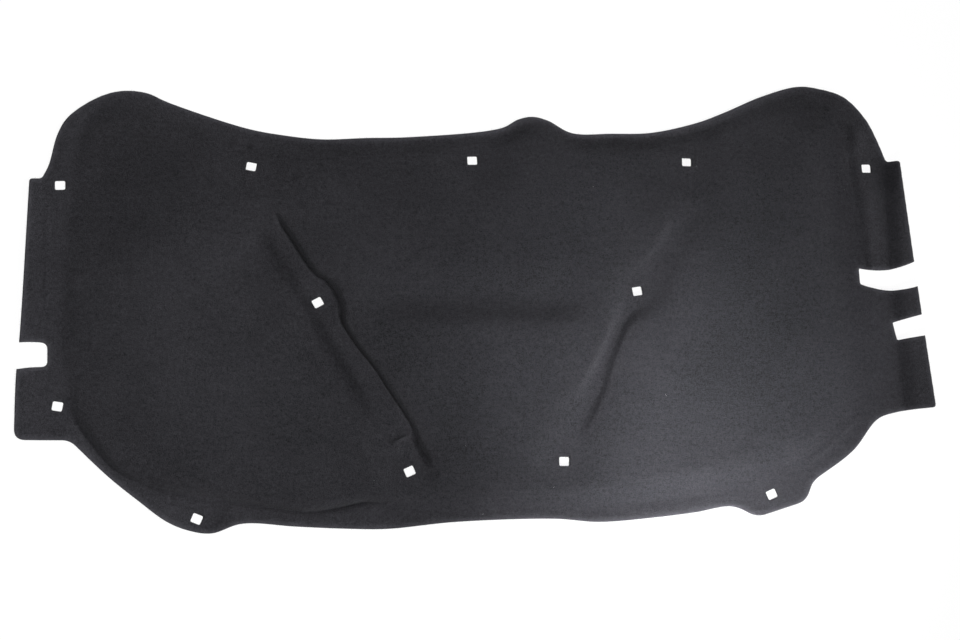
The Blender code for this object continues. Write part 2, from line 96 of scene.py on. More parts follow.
# Widths over which the felt rises from a pressed line, and depths of the pressed channels
FAINT, FADING, HAZY, BROAD = 0.200, 0.110, 0.080, 0.040
GENTLE, SOFT, FIRM, SHARP = 0.020, 0.018, 0.010, 0.0035
MIDDLING, SHALLOW, SLIGHT, TRACE, HINT = 0.0045, 0.0030, 0.0018, 0.0010, 0.0006

# The foot of the raised body, from the upper left and anticlockwise, with the width of its first rise
BODY_FOOT: tuple[Point, ...] = (
    *carrying((GENTLE,), (-0.514, 0.241), (-0.525, 0.210), (-0.530, 0.156), (-0.541, 0.039), (-0.545, -0.038),
              (-0.535, -0.101)),
    *carrying((FIRM,), (-0.524, -0.132), (-0.501, -0.165), (-0.472, -0.200), (-0.426, -0.224), (-0.370, -0.237),
              (-0.313, -0.249), (-0.238, -0.262), (-0.195, -0.259), (-0.165, -0.254), (-0.132, -0.257)),
    *carrying((BROAD,), (-0.094, -0.271), (-0.018, -0.277), (0.086, -0.279), (0.164, -0.276), (0.236, -0.268),
              (0.302, -0.260), (0.357, -0.246), (0.411, -0.235), (0.443, -0.216)),
    *carrying((HAZY,), (0.478, -0.187), (0.506, -0.162), (0.526, -0.123), (0.532, -0.068), (0.526, -0.016),
              (0.525, 0.050), (0.523, 0.114), (0.521, 0.168), (0.519, 0.204), (0.516, 0.236)),
    *carrying((GENTLE,), (0.501, 0.259), (0.470, 0.275), (0.442, 0.277), (0.406, 0.267), (0.362, 0.249),
              (0.305, 0.229), (0.250, 0.218), (0.167, 0.217), (0.129, 0.219), (0.102, 0.234), (0.079, 0.240),
              (0.057, 0.236), (0.030, 0.225), (-0.075, 0.218), (-0.154, 0.215), (-0.220, 0.217),
              (-0.271, 0.225), (-0.314, 0.236), (-0.362, 0.254), (-0.409, 0.272), (-0.434, 0.281),
              (-0.461, 0.283), (-0.488, 0.272)),
)
# Its points from the first number on, and those before the second, run along the top edge
FIRST_TOP_FOOT, LAST_TOP_FOOT = 35, 2

# The sharp right edge of the left channel, from its upper end, with the width and the depth of its wall
SHARP_EDGE: tuple[Point, ...] = (
    (-0.2674, 0.1266, 0.0060, TRACE), (-0.2602, 0.1111, 0.0050, SLIGHT),
    *carrying((0.0045, SHALLOW), (-0.2446, 0.0857), (-0.2317, 0.0632), (-0.2227, 0.0491)),
    *carrying((SHARP, SHALLOW), (-0.2161, 0.0406), (-0.2068, 0.0354)),
    (-0.1977, 0.0263, 0.0045, SHALLOW), (-0.1900, 0.0123, 0.0060, SHALLOW),
    (-0.1856, -0.0029, 0.0070, SHALLOW), (-0.1855, -0.0180, 0.0045, SHALLOW),
    *carrying((SHARP, SHALLOW), (-0.1780, -0.0347), (-0.1677, -0.0514)), (-0.1549, -0.0695, SHARP, 0.0024),
    *carrying((SHARP, SLIGHT), (-0.1420, -0.0876), (-0.1293, -0.1097), (-0.1166, -0.1304), (-0.1040, -0.1511),
              (-0.0965, -0.1675)),
    (-0.0892, -0.1866, 0.0070, SLIGHT), (-0.0800, -0.2070, SOFT, TRACE),
)

# Floors of the pressed channels, anticlockwise, with the width of the wall that rises from each point and
# the depth there
LEFT_CHANNEL: tuple[Point, ...] = (
    (-0.283, 0.158, HAZY, HINT), (-0.296, 0.149, FADING, HINT), (-0.289, 0.132, FAINT, TRACE),
    *carrying((FAINT, SHALLOW), (-0.262, 0.085), (-0.245, 0.055), (-0.223, 0.012), (-0.202, -0.030)),
    (-0.165, -0.095, FADING, SLIGHT),
    *carrying((BROAD, SLIGHT), (-0.134, -0.165), (-0.124, -0.215), (-0.109, -0.236), (-0.089, -0.233)),
    (-0.0800, -0.2150, BROAD, TRACE), *reversed(SHARP_EDGE), (-0.274, 0.140, BROAD, HINT),
)
RIGHT_CHANNEL: tuple[Point, ...] = (
    (0.273, 0.158, BROAD, SLIGHT), (0.265, 0.128, SOFT, SLIGHT),
    *carrying((FIRM, SHALLOW), (0.2545, 0.0900), (0.2380, 0.0655), (0.2215, 0.0445), (0.2010, 0.0290),
              (0.1930, 0.0140), (0.1880, -0.0020)),
    *carrying((FIRM, MIDDLING), (0.1765, -0.0296), (0.1640, -0.0522), (0.1505, -0.0804)),
    (0.1280, -0.1230, SOFT, MIDDLING), (0.1050, -0.1640, BROAD, SHALLOW),
    *carrying((BROAD, SLIGHT), (0.0850, -0.2000), (0.0840, -0.2300), (0.1030, -0.2280), (0.1060, -0.2020)),
    (0.1110, -0.1800, SOFT, SHALLOW),
    *carrying((FIRM, MIDDLING), (0.1340, -0.1420), (0.1475, -0.1135), (0.1580, -0.0825), (0.1705, -0.0565),
              (0.1850, -0.0300)),
    (0.2080, -0.0060, SOFT, SHALLOW),
    *carrying((BROAD, SHALLOW), (0.2200, 0.0160), (0.2280, 0.0400), (0.2480, 0.0700), (0.2700, 0.1000)),
    *carrying((BROAD, SLIGHT), (0.2800, 0.1340), (0.2850, 0.1590)),
)
CENTRE_POCKET: tuple[Point, ...] = carrying(
    (BROAD, SLIGHT), (-0.024, 0.200), (-0.029, 0.178), (-0.017, 0.160), (0.005, 0.159), (0.019, 0.180),
    (0.014, 0.202),
)

# Lines of the plan: the wide soft valley in the middle, the folds and rises of the side tabs and flanges, and
# the crease inside the lower-left flange
VALLEY: tuple[Point, ...] = ((-0.180, 0.008), (-0.069, 0.003), (0.041, 0.000), (0.155, -0.006))
RIGHT_FOLD: tuple[Point, ...] = (
    (0.557, -0.220), (0.554, -0.076), (0.553, 0.033), (0.557, 0.140), (0.561, 0.230),
)
RIGHT_RISE: tuple[Point, ...] = (
    (0.466, -0.340), (0.478, -0.190), (0.482, -0.070), (0.480, 0.050), (0.478, 0.150), (0.474, 0.250),
    (0.468, 0.340),
)
LEFT_FOLD: tuple[Point, ...] = (
    (-0.548, 0.300), (-0.552, 0.185), (-0.554, 0.050), (-0.558, -0.060), (-0.560, -0.168), (-0.562, -0.300),
)
LEFT_FLANGE: tuple[Point, ...] = (
    (-0.541, -0.105), (-0.526, -0.132), (-0.503, -0.165), (-0.473, -0.201), (-0.427, -0.225), (-0.370, -0.238),
    (-0.313, -0.249), (-0.238, -0.262), (-0.195, -0.259), (-0.165, -0.254), (-0.132, -0.257), (-0.100, -0.268),
)

# How the CAD draws the same edge, from which the fit to its box is worked out
CAD_EDGE_STEP, CAD_CORNER_POINTS = 0.015, 3

# Clip holes: x, y, turn in degrees, and the width of the slope round each one's flat land
CLIP_HOLES: tuple[Point, ...] = (
    (-0.5400, 0.1671, 0, 0.013), (-0.5434, -0.1178, -11, 0.013), (-0.3735, -0.2650, -24, 0.035),
    (-0.2965, 0.1868, -12, 0.035), (-0.2155, 0.0046, 27, 0.020), (-0.1054, -0.2167, 22, 0.030),
    (-0.0067, 0.1900, 0, 0.045), (0.0941, -0.2118, -3, 0.035), (0.2041, 0.0082, 7, 0.034),
    (0.2825, 0.1821, -3, 0.045), (0.3654, -0.2652, 21, 0.013), (0.5320, 0.1692, 0, 0.030),
)

# A step fades out again over this many of its half widths, and a fold is pointed by this power
STEP_FADE = 5
FOLD_POWER = 1.5


class Form(Enum):
    """How a mark changes the surface across its line."""

    FOLD = "a narrow pointed crease or ridge"
    SWELL = "a broad soft hollow or ridge"
    STEP = "a rise to the right of the line, seen along it"


def eased(t: np.ndarray) -> np.ndarray:
    """0 to 1, level at both ends."""
    t = np.clip(t, 0, 1)
    return t * t * (3 - 2 * t)


def lengths_along(points: np.ndarray) -> np.ndarray:
    """Distance along a line of points to each of them."""
    return np.concatenate([[0], np.cumsum(np.linalg.norm(np.diff(points[:, :2], axis=0), axis=1))])


def spaced(points: np.ndarray, step: float) -> np.ndarray:
    """The same line with points about one step apart.

    Args:
        points: x, y and any further numbers, which are carried along.
        step: the distance wanted between points.

    Returns:
        The new points, the first and last in their old places.
    """
    along = lengths_along(points)
    places = np.linspace(0, along[-1], max(1, round(along[-1] / step)) + 1)
    return np.stack([np.interp(places, along, column) for column in points.T], axis=1)


def smooth_line(points: Sequence[Point] | np.ndarray, step: float, closed: bool = False) -> np.ndarray:
    """A smooth curve through the points.

    Args:
        points: the points that it passes through.
        step: the distance wanted between drawn points.
        closed: whether it comes back to its first point, which is then drawn once.

    Returns:
        The drawn points.
    """
    known = np.array(points, float)
    if len(known) == 2:
        return spaced(known, step)
    if closed:
        known = np.vstack([known[-1:], known, known[:2]])
    else:
        known = np.vstack([2 * known[0] - known[1], known, 2 * known[-1] - known[-2]])
    chords = np.sqrt(np.linalg.norm(np.diff(known[:, :2], axis=0), axis=1))
    knots = np.concatenate([[0], np.cumsum(chords)])
    shares = np.linspace(0, 1, 16, endpoint=False)[:, None]
    drawn = []
    for i in range(1, len(known) - 2):
        before, start, end, after = known[i - 1 : i + 3]
        t0, t1, t2, t3 = knots[i - 1 : i + 3]
        middle = (end - start) / (t2 - t1)
        leave = (t2 - t1) * ((start - before) / (t1 - t0) - (end - before) / (t2 - t0) + middle)
        arrive = (t2 - t1) * (middle - (after - start) / (t3 - t1) + (after - end) / (t3 - t2))
        drawn.append(
            (2 * shares**3 - 3 * shares**2 + 1) * start
            + (shares**3 - 2 * shares**2 + shares) * leave
            + (3 * shares**2 - 2 * shares**3) * end
            + (shares**3 - shares**2) * arrive
        )
    line = spaced(np.vstack([*drawn, known[-2:-1]]), step)
    return line[:-1] if closed else line


def looped(points: np.ndarray) -> np.ndarray:
    """The points with the first one again at the end."""
    return np.vstack([points, points[:1]])


def search_tree(places: np.ndarray) -> KDTree:
    """A tree that finds the nearest of these places."""
    tree = KDTree(len(places))
    for i, (x, y) in enumerate(places):
        tree.insert((x, y, 0), i)
    tree.balance()
    return tree


def add_object(name: str, data: bpy.types.ID) -> bpy.types.Object:
    """A new object in the scene, at the origin."""
    made = bpy.data.objects.new(name, data)
    bpy.context.scene.collection.objects.link(made)
    return made


def cut_back(line: np.ndarray, length: float) -> np.ndarray:
    """The line without its first stretch of this length, which is at most half of it."""
    along = lengths_along(line)
    length = min(length, along[-1] / 2)
    start = [np.interp(length, along, column) for column in line.T]
    return np.vstack([start, line[along > length + 1e-9]])


def edge_with_corners(points: Sequence[Point], step: float, corner_points: int = 7) -> np.ndarray:
    """A closed outline that is smooth between its corners, each rounded over its own length.

    Args:
        points: places, of which those with a third number are corners.
        step: the distance wanted between drawn points.
        corner_points: how many points round off a corner.

    Returns:
        The drawn outline, anticlockwise like its points.
    """
    corners = [i for i, point in enumerate(points) if len(point) == 3]
    outline = []
    for here, there in zip(corners, corners[1:] + [corners[0] + len(points)]):
        stretch = [points[i % len(points)] for i in range(here, there + 1)]
        line = cut_back(smooth_line([point[:2] for point in stretch], step), stretch[0][2])
        outline.append((cut_back(line[::-1], stretch[-1][2])[::-1], np.array(stretch[-1][:2])))
    drawn: list[np.ndarray] = []
    for i, (line, corner) in enumerate(outline):
        drawn.extend(line)
        following = outline[(i + 1) % len(outline)][0][0]
        for t in np.linspace(0, 1, corner_points + 2)[1:-1]:
            drawn.append((1 - t) ** 2 * line[-1] + 2 * t * (1 - t) * corner + t**2 * following)
    return np.array(drawn)


@dataclass
class Line:
    """A line in the pad's plan: x, y and any numbers that it carries, such as the width of a wall."""

    points: np.ndarray
    closed: bool = False

    def measure(self, places: np.ndarray) -> tuple[np.ndarray, np.ndarray, np.ndarray]:
        """Where places lie from the line.

        Args:
            places: x and y of each place.

        Returns:
            The distance, the carried numbers at the nearest point, and whether it lies on the right.
        """
        starts = self.points if self.closed else self.points[:-1]
        ends = np.roll(self.points, -1, axis=0) if self.closed else self.points[1:]
        best = np.full(len(places), np.inf)
        carried = np.zeros((len(places), self.points.shape[1] - 2))
        right = np.zeros(len(places), bool)
        for start, end in zip(starts, ends):
            run = end[:2] - start[:2]
            t = np.clip((places - start[:2]) @ run / max(run @ run, 1e-12), 0, 1)
            away = places - start[:2] - t[:, None] * run
            distance = np.hypot(away[:, 0], away[:, 1])
            closer = distance < best
            best[closer] = distance[closer]
            carried[closer] = start[2:] + t[closer, None] * (end[2:] - start[2:])
            right[closer] = (away[:, 0] * run[1] - away[:, 1] * run[0])[closer] > 0
        return best, carried, right

    def encloses(self, places: np.ndarray) -> np.ndarray:
        """Whether each place lies inside the closed line."""
        inside = np.zeros(len(places), bool)
        for (ax, ay), (bx, by) in zip(self.points[:, :2], np.roll(self.points[:, :2], -1, axis=0)):
            if ay != by:
                spans = (ay > places[:, 1]) != (by > places[:, 1])
                inside ^= spans & (places[:, 0] < ax + (places[:, 1] - ay) * (bx - ax) / (by - ay))
        return inside

    def beside(self, distance: float | np.ndarray, step: float) -> np.ndarray:
        """Evenly spaced points of the line moved to its right, seen along it.

        Args:
            distance: how far it is moved, as one number or one for each point.
            step: the distance wanted between points.

        Returns:
            The points.
        """
        moved = self.offset(distance)
        return spaced(looped(moved) if self.closed else moved, step)

    def offset(self, distance: float | np.ndarray) -> np.ndarray:
        """The points moved to the line's right, seen along it."""
        if self.closed:
            run = np.roll(self.points, -1, axis=0)[:, :2] - np.roll(self.points, 1, axis=0)[:, :2]
        else:
            run = np.gradient(self.points[:, :2], axis=0)
        run /= np.maximum(np.linalg.norm(run, axis=1), 1e-12)[:, None]
        return self.points[:, :2] + np.column_stack([run[:, 1], -run[:, 0]]) * np.reshape(distance, (-1, 1))


@dataclass(frozen=True)
class Mark:
    """A wrinkle, ridge, dent or step that lies along a line on the upper face.

    The taper is the share of the line's length over which each end dies out.
    """

    name: str
    form: Form
    height: float
    half_width: float
    points: tuple[Point, ...]
    taper: float = 0.25

    def line(self, step: float) -> Line:
        """The line that the mark follows, which carries its own length so far."""
        drawn = smooth_line(self.points, step)
        return Line(np.column_stack([drawn, lengths_along(drawn)]))

    def heights(self, places: np.ndarray) -> np.ndarray:
        """How far the mark lifts the upper face at each place.

        Args:
            places: x and y of each place.

        Returns:
            The lift, 0 away from the mark.
        """
        lift = np.zeros(len(places))
        reach = self.half_width * (1 + STEP_FADE if self.form is Form.STEP else 1)
        low, high = np.min(self.points, axis=0)[:2] - reach, np.max(self.points, axis=0)[:2] + reach
        near = np.all((places > low) & (places < high), axis=1)
        if not near.any():
            return lift
        line = self.line(self.half_width / 2)
        distance, along, right = line.measure(places[near])
        length = line.points[-1, 2]
        ends = np.minimum(along[:, 0], length - along[:, 0]) / (self.taper * length)
        if self.form is Form.FOLD:
            across = np.clip(1 - distance / self.half_width, 0, 1) ** FOLD_POWER
        elif self.form is Form.SWELL:
            across = eased(1 - distance / self.half_width)
        else:
            rise = eased(distance / self.half_width)
            fade = eased((distance - self.half_width) / (STEP_FADE * self.half_width))
            across = right * rise * (1 - fade)
        lift[near] = self.height * across * eased(ends)
        return lift


MARKS: tuple[Mark, ...] = (
    Mark("channel_upper_drop", Form.STEP, -0.0074, 0.020,
         ((-0.2819, 0.1188), (-0.2664, 0.0878), (-0.2509, 0.0598), (-0.2355, 0.0345), (-0.2239, 0.0150),
          (-0.2124, -0.0073)), taper=0.30),
    Mark("channel_lower_drop", Form.STEP, -0.0078, 0.014,
         ((-0.2386, 0.0329), (-0.2270, 0.0134), (-0.2155, -0.0089), (-0.2027, -0.0312), (-0.1900, -0.0561),
          (-0.1773, -0.0782), (-0.1671, -0.0948), (-0.1545, -0.1196), (-0.1445, -0.1415), (-0.1360, -0.1620)),
         taper=0.34),
    Mark("left_sag", Form.SWELL, -0.0030, 0.120,
         ((-0.352, 0.140), (-0.325, 0.060), (-0.300, 0.000)), taper=0.5),
    Mark("ridge_beside_drop", Form.SWELL, 0.0022, 0.024,
         ((-0.246, -0.014), (-0.232, -0.044), (-0.216, -0.072), (-0.196, -0.106)), taper=0.35),
    Mark("swell_by_top_hole", Form.SWELL, 0.0012, 0.016, ((-0.306, 0.172), (-0.296, 0.168))),
    Mark("channel_crevice", Form.FOLD, -0.0064, 0.0058, plan_of(SHARP_EDGE[:12]), taper=0.14),
    Mark("channel_crevice_end", Form.FOLD, -0.0050, 0.0034, plan_of(SHARP_EDGE[9:20]), taper=0.16),
    Mark("lower_left_crease", Form.FOLD, -0.0052, 0.0048,
         ((-0.528, -0.128), (-0.503, -0.165), (-0.473, -0.201), (-0.427, -0.225), (-0.370, -0.238),
          (-0.313, -0.249), (-0.238, -0.262), (-0.195, -0.2585), (-0.165, -0.2535), (-0.132, -0.257)),
         taper=0.10),
    Mark("right_hollow", Form.SWELL, -0.0036, 0.048,
         ((0.480, 0.230), (0.478, 0.120), (0.482, 0.020), (0.484, -0.120))),
    Mark("channel_lip", Form.SWELL, 0.0008, 0.0050,
         ((-0.2640, 0.1091), (-0.2360, 0.0622), (-0.2191, 0.0370), (-0.2018, 0.0243), (-0.1896, -0.0040),
          (-0.1895, -0.020), (-0.1717, -0.0530), (-0.1460, -0.0890), (-0.1206, -0.1320), (-0.102, -0.165)),
         taper=0.1),
    Mark("channel_bench", Form.STEP, -0.0010, 0.007, ((-0.228, -0.050), (-0.219, -0.071), (-0.192, -0.117))),
    Mark("channel_end_edge", Form.FOLD, 0.0026, 0.0046,
         ((-0.131, -0.183), (-0.112, -0.174), (-0.098, -0.168))),
    Mark("channel_end_wedge", Form.STEP, -0.0066, 0.0036,
         ((-0.0985, -0.158), (-0.0935, -0.1690), (-0.0870, -0.1830), (-0.0800, -0.1960), (-0.0735, -0.2120)),
         taper=0.30),
    Mark("wedge_foot", Form.FOLD, -0.0036, 0.0040,
         ((-0.0990, -0.166), (-0.0910, -0.1860), (-0.0790, -0.2080))),
    Mark("dent_under_end_edge", Form.SWELL, -0.0024, 0.013, ((-0.118, -0.1860), (-0.104, -0.1850))),
    Mark("swell_by_channel_end", Form.SWELL, 0.0018, 0.022, ((-0.205, -0.182), (-0.150, -0.186))),
    Mark("middle_swell", Form.SWELL, 0.0016, 0.050, ((0.040, 0.050), (0.115, 0.040))),
    Mark("wrinkle_by_right_channel", Form.FOLD, -0.0004, 0.007,
         ((0.190, 0.146), (0.150, 0.104), (0.108, 0.060))),
    Mark("second_wrinkle", Form.FOLD, -0.0003, 0.007, ((0.205, 0.134), (0.166, 0.096), (0.124, 0.052))),
    Mark("middle_crease", Form.FOLD, -0.0003, 0.006, ((0.0363, 0.060), (0.0338, 0.008))),
    Mark("lower_crease", Form.FOLD, -0.0007, 0.006, ((0.160, -0.271), (0.230, -0.268), (0.300, -0.259))),
    Mark("flange_tick", Form.FOLD, -0.0014, 0.0035, ((-0.404, -0.226), (-0.4045, -0.247)), taper=0.4),
    Mark("flange_hump", Form.SWELL, 0.0010, 0.012, ((-0.190, -0.260), (-0.163, -0.257), (-0.136, -0.262))),
    Mark("corner_facet", Form.FOLD, 0.0010, 0.008, ((0.519, 0.228), (0.527, 0.197))),
    Mark("left_tab_line", Form.FOLD, 0.0009, 0.006, ((-0.557, 0.160), (-0.5555, 0.070), (-0.556, -0.010))),
    Mark("right_foot_crease", Form.STEP, 0.0026, 0.006,
         ((0.520, -0.010), (0.518, 0.050), (0.516, 0.112), (0.513, 0.156), (0.511, 0.199), (0.506, 0.244)),
         taper=0.12),
    Mark("lower_right_ridge", Form.FOLD, 0.0016, 0.007,
         ((0.400, -0.234), (0.436, -0.2135), (0.471, -0.1843), (0.503, -0.160))),
    Mark("top_foot_crease", Form.FOLD, -0.0014, 0.0090,
         plan_of(BODY_FOOT[FIRST_TOP_FOOT:] + BODY_FOOT[:LAST_TOP_FOOT]), taper=0.05),
    Mark("dent_over_top_hole", Form.SWELL, -0.0012, 0.014, ((-0.306, 0.214), (-0.296, 0.213))),
)


@dataclass
class PointCloud:
    """Points for a mesh. A new one is kept only at its least distance from those already in."""

    cell: float = 0.004
    points: list[tuple[float, float]] = field(default_factory=list)
    cells: dict[tuple[int, int], list[int]] = field(default_factory=dict)

    def add(self, places: Iterable[Sequence[float]], least: float) -> list[int]:
        """Adds those of the places that are far enough from all others.

        Args:
            places: x and y of each place.
            least: the least distance, at most one cell.

        Returns:
            The numbers of the points that were kept.
        """
        kept = []
        for x, y in places:
            column, row = math.floor(x / self.cell), math.floor(y / self.cell)
            around = (
                self.points[i]
                for across in (-1, 0, 1)
                for up in (-1, 0, 1)
                for i in self.cells.get((column + across, row + up), ())
            )
            if all((x - px) ** 2 + (y - py) ** 2 >= least * least for px, py in around):
                self.cells.setdefault((column, row), []).append(len(self.points))
                kept.append(len(self.points))
                self.points.append((float(x), float(y)))
        return kept


@dataclass
class InsulationPad:
    """The moulded felt sheet: its plan, its relief and its fine mesh."""

    low: Vector
    high: Vector
    edge_thickness: float = 0.003
    body_thickness: float = 0.009
    body_hollow: float = 0.0045
    crown_middle: tuple[float, float] = (-0.010, -0.030)
    crown_reach: tuple[float, float] = (0.545, 0.300)
    crown_least: float = 0.07
    crown_power: int = 3
    flange_bend: float = 0.024
    clip_hole: float = 0.0135
    clip_hole_rise: float = 0.0122
    clip_hole_corner: float = 0.0022
    land_radius: float = 0.0145
    valley_depth: float = 0.0095
    valley_half_width: float = 0.056
    valley_lower_width: float = 0.036
    valley_fade: float = 0.07
    tab_curl: float = 0.007
    tab_curl_width: float = 0.020
    left_curl: float = 0.0030
    left_curl_width: float = 0.036
    right_flange_lift: float = 0.0026
    right_flange_bend: float = 0.036
    flange_lift: float = 0.0032
    line_lift: float = 0.0030
    line_reach: float = 0.045
    crease_depth: float = 0.0014
    crease_half_width: float = 0.0042
    edge_round: float = 0.0011
    edge_insets: tuple[float, ...] = (0.35, 0.7, 1.0, 2.2)
    edge_fall: float = 0.35
    edge_rise: float = 0.15
    edge_bulge: float = 0.12
    # The painted highlight on the cut edge fades out over this width
    lip_highlight_width: float = 0.006
    underside_share: float = 0.5
    belly_share: float = 0.6
    pressed_ripple: float = 0.35
    least_thickness: float = 0.0014
    narrow_step: float = 0.005
    ripple: float = 0.00045
    ripple_length: float = 0.055
    ripple_slice: float = 0.31
    dimple: float = 0.00010
    dimple_length: float = 0.009
    dimple_slice: float = 7.7
    edge_step: float = 0.0025
    line_step: float = 0.004
    lattice_step: float = 0.0045
    rim_step: float = 0.0006
    crisp_angle: float = 60.0

    def __post_init__(self) -> None:
        """Fits the drawn plan to the CAD's box and draws its lines."""
        drawn = edge_with_corners(CUT_EDGE, CAD_EDGE_STEP, CAD_CORNER_POINTS)
        least, most = drawn.min(axis=0), drawn.max(axis=0)
        size = np.array(self.high - self.low)[:2]
        self.middle = (least + most) / 2
        self.stretch = size / (most - least)
        self.cut_edge = Line(edge_with_corners(self.placed(CUT_EDGE), self.edge_step), closed=True)
        self.foot = self.closed_line(BODY_FOOT)
        self.channels = [self.closed_line(floor) for floor in (LEFT_CHANNEL, RIGHT_CHANNEL, CENTRE_POCKET)]
        self.valley = self.open_line(VALLEY)
        self.right_fold = self.open_line(RIGHT_FOLD)
        self.left_fold = self.open_line(LEFT_FOLD)
        self.right_rise = self.open_line(RIGHT_RISE)
        self.left_flange = self.open_line(LEFT_FLANGE)
        self.clip_places = self.placed(CLIP_HOLES)
        self.openings = [self.clip_outline(place) for place in self.clip_places]
        self.openings += [
            self.notch_outline((-0.5905, -0.0525), 180, 0.034, 0.031, 0.035, 0.001, 0.008),
            self.notch_outline((0.5860, 0.0205), 0, 0.035, 0.022, 0.077, 0.007, 0.002),
            self.notch_outline((0.5890, -0.0495), 10, 0.029, 0.025, 0.039, 0, 0.002),
        ]

    def placed(self, points: Sequence[Point]) -> list[Point]:
        """Drawn points in the pad's frame. Numbers beyond x and y stay as they are."""
        moved = [(np.array(point[:2]) - self.middle) * self.stretch for point in points]
        return [(*place, *point[2:]) for place, point in zip(moved, points)]

    def closed_line(self, points: Sequence[Point]) -> Line:
        """A smooth closed line of the plan."""
        return Line(smooth_line(self.placed(points), self.line_step, closed=True), closed=True)

    def open_line(self, points: Sequence[Point]) -> Line:
        """A smooth open line of the plan, which carries its own length so far."""
        drawn = smooth_line(self.placed(points), self.line_step)
        return Line(np.column_stack([drawn, lengths_along(drawn)]))

    def clip_outline(self, place: Point, corner_points: int = 6) -> Line:
        """The round-cornered square of a clip hole.

        Args:
            place: x, y, the turn in degrees, and the width of the slope round it.
            corner_points: points in each rounded corner.

        Returns:
            Its closed line.
        """
        x, y, turn, _ = place
        radius = self.clip_hole_corner
        across, along = self.clip_hole / 2 - radius, self.clip_hole_rise / 2 - radius
        points = []
        for quarter in range(4):
            for share in np.linspace(0, 1, corner_points):
                angle = math.radians(90 * (quarter + share))
                sx, sy = ((1, 1), (-1, 1), (-1, -1), (1, -1))[quarter]
                points.append((sx * across + radius * math.cos(angle), sy * along + radius * math.sin(angle)))
        return Line(self.turned(points, turn) + (x, y), closed=True)

    def notch_outline(
        self, mouth: Point, turn: float, mouth_width: float, inner_width: float, depth: float, sag: float,
        corner: float, past_mouth: float = 0.02,
    ) -> Line:
        """The outline of a slot that is cut in from the edge of a tab.

        Args:
            mouth: the middle of the mouth.
            turn: the way out, in degrees.
            mouth_width: the width at the mouth.
            inner_width: the width at the inner end.
            depth: from the mouth to the inner end.
            sag: how far both long sides bow down in their middle.
            corner: the length that rounds each inner corner.
            past_mouth: how far the line runs on past the mouth.

        Returns:
            Its closed line.
        """
        sides = []
        for side in (-0.5, 0.5):
            t = np.linspace(0, 1, 15)
            y = side * (mouth_width + (inner_width - mouth_width) * t) - 4 * sag * t * (1 - t)
            sides.append(np.column_stack([-depth * t, y]))
        lower, upper = (cut_back(side[::-1], corner)[::-1] for side in sides)
        bends = []
        for start, tip, end in (
            (lower[-1], sides[0][-1], sides[0][-1] + (0, corner)),
            (sides[1][-1] - (0, corner), sides[1][-1], upper[-1]),
        ):
            t = np.linspace(0, 1, 7)[1:-1, None]
            bends.append((1 - t) ** 2 * start + 2 * t * (1 - t) * tip + t**2 * end)
        points = np.vstack([
            [(past_mouth, sides[0][0, 1])], lower, bends[0], [sides[0][-1] + (0, corner)],
            [sides[1][-1] - (0, corner)], bends[1], upper[::-1], [(past_mouth, sides[1][0, 1])],
        ])
        place = self.placed([mouth])[0]
        return Line(spaced(self.turned(points[::-1], turn) + place, self.edge_step), closed=True)

    @staticmethod
    def turned(points: Sequence[Sequence[float]] | np.ndarray, turn: float) -> np.ndarray:
        """Points turned about the origin by this many degrees."""
        c, s = math.cos(math.radians(turn)), math.sin(math.radians(turn))
        return np.array(points) @ np.array([[c, s], [-s, c]])

    def on_felt(self, places: np.ndarray) -> np.ndarray:
        """Whether each place is on the felt: inside the cut edge and in no hole or notch."""
        held = self.cut_edge.encloses(places)
        for opening in self.openings:
            low, high = opening.points.min(axis=0), opening.points.max(axis=0)
            near = np.flatnonzero(np.all((places > low) & (places < high), axis=1))
            held[near[opening.encloses(places[near])]] = False
        return held

    def off_lands(self, places: np.ndarray) -> np.ndarray:
        """0 on the flat disc round each clip hole, rising to 1 beyond its shoulder."""
        off = np.ones(len(places))
        for x, y, _, slope in self.clip_places:
            distance = np.hypot(places[:, 0] - x, places[:, 1] - y)
            off *= eased((distance - self.land_radius) / slope)
        return off

    def loft(self, places: np.ndarray) -> np.ndarray:
        """How far the felt has risen: 0 where it is pressed flat, 1 on the full body."""
        distance, shoulder, _ = self.foot.measure(places)
        risen = eased(np.where(self.foot.encloses(places), distance, 0) / shoulder[:, 0])
        full_rise = self.body_hollow + self.body_thickness - self.edge_thickness
        for floor in self.channels:
            distance, carried, _ = floor.measure(places)
            wall, depth = carried.T
            outside = np.where(floor.encloses(places), 0, distance)
            risen *= 1 - depth / full_rise * (1 - eased(outside / wall))
        return risen

    def crown(self, places: np.ndarray) -> np.ndarray:
        """The share of the full rise that the body reaches, least near its edges and 1 in the middle."""
        away = np.abs((places - self.crown_middle) / self.crown_reach)
        along, across = np.clip(1 - away**self.crown_power, 0, 1).T
        return self.crown_least + (1 - self.crown_least) * along * across

    def lift(self, places: np.ndarray) -> np.ndarray:
        """How far the flat edge curls up off the floor."""
        distance, _, right = self.right_fold.measure(places)
        part = np.clip(distance * right / self.tab_curl_width, 0, 1)
        curl = self.tab_curl * part * (2 - part)
        distance, _, right = self.left_fold.measure(places)
        curl += self.left_curl * eased(distance * right / self.left_curl_width)
        distance, _, right = self.right_rise.measure(places)
        curl += self.right_flange_lift * eased(distance * right / self.right_flange_bend)
        distance, along, right = self.left_flange.measure(places)
        length = self.left_flange.points[-1, 2]
        fade = eased(np.minimum(along[:, 0], length - along[:, 0]) / (length / 6))
        held = np.where(right, 1, 1 - eased(distance / self.line_reach))
        flange = fade * (self.line_lift * held + self.flange_lift * eased(distance * right / self.flange_bend))
        return (curl + flange) * self.off_lands(places)

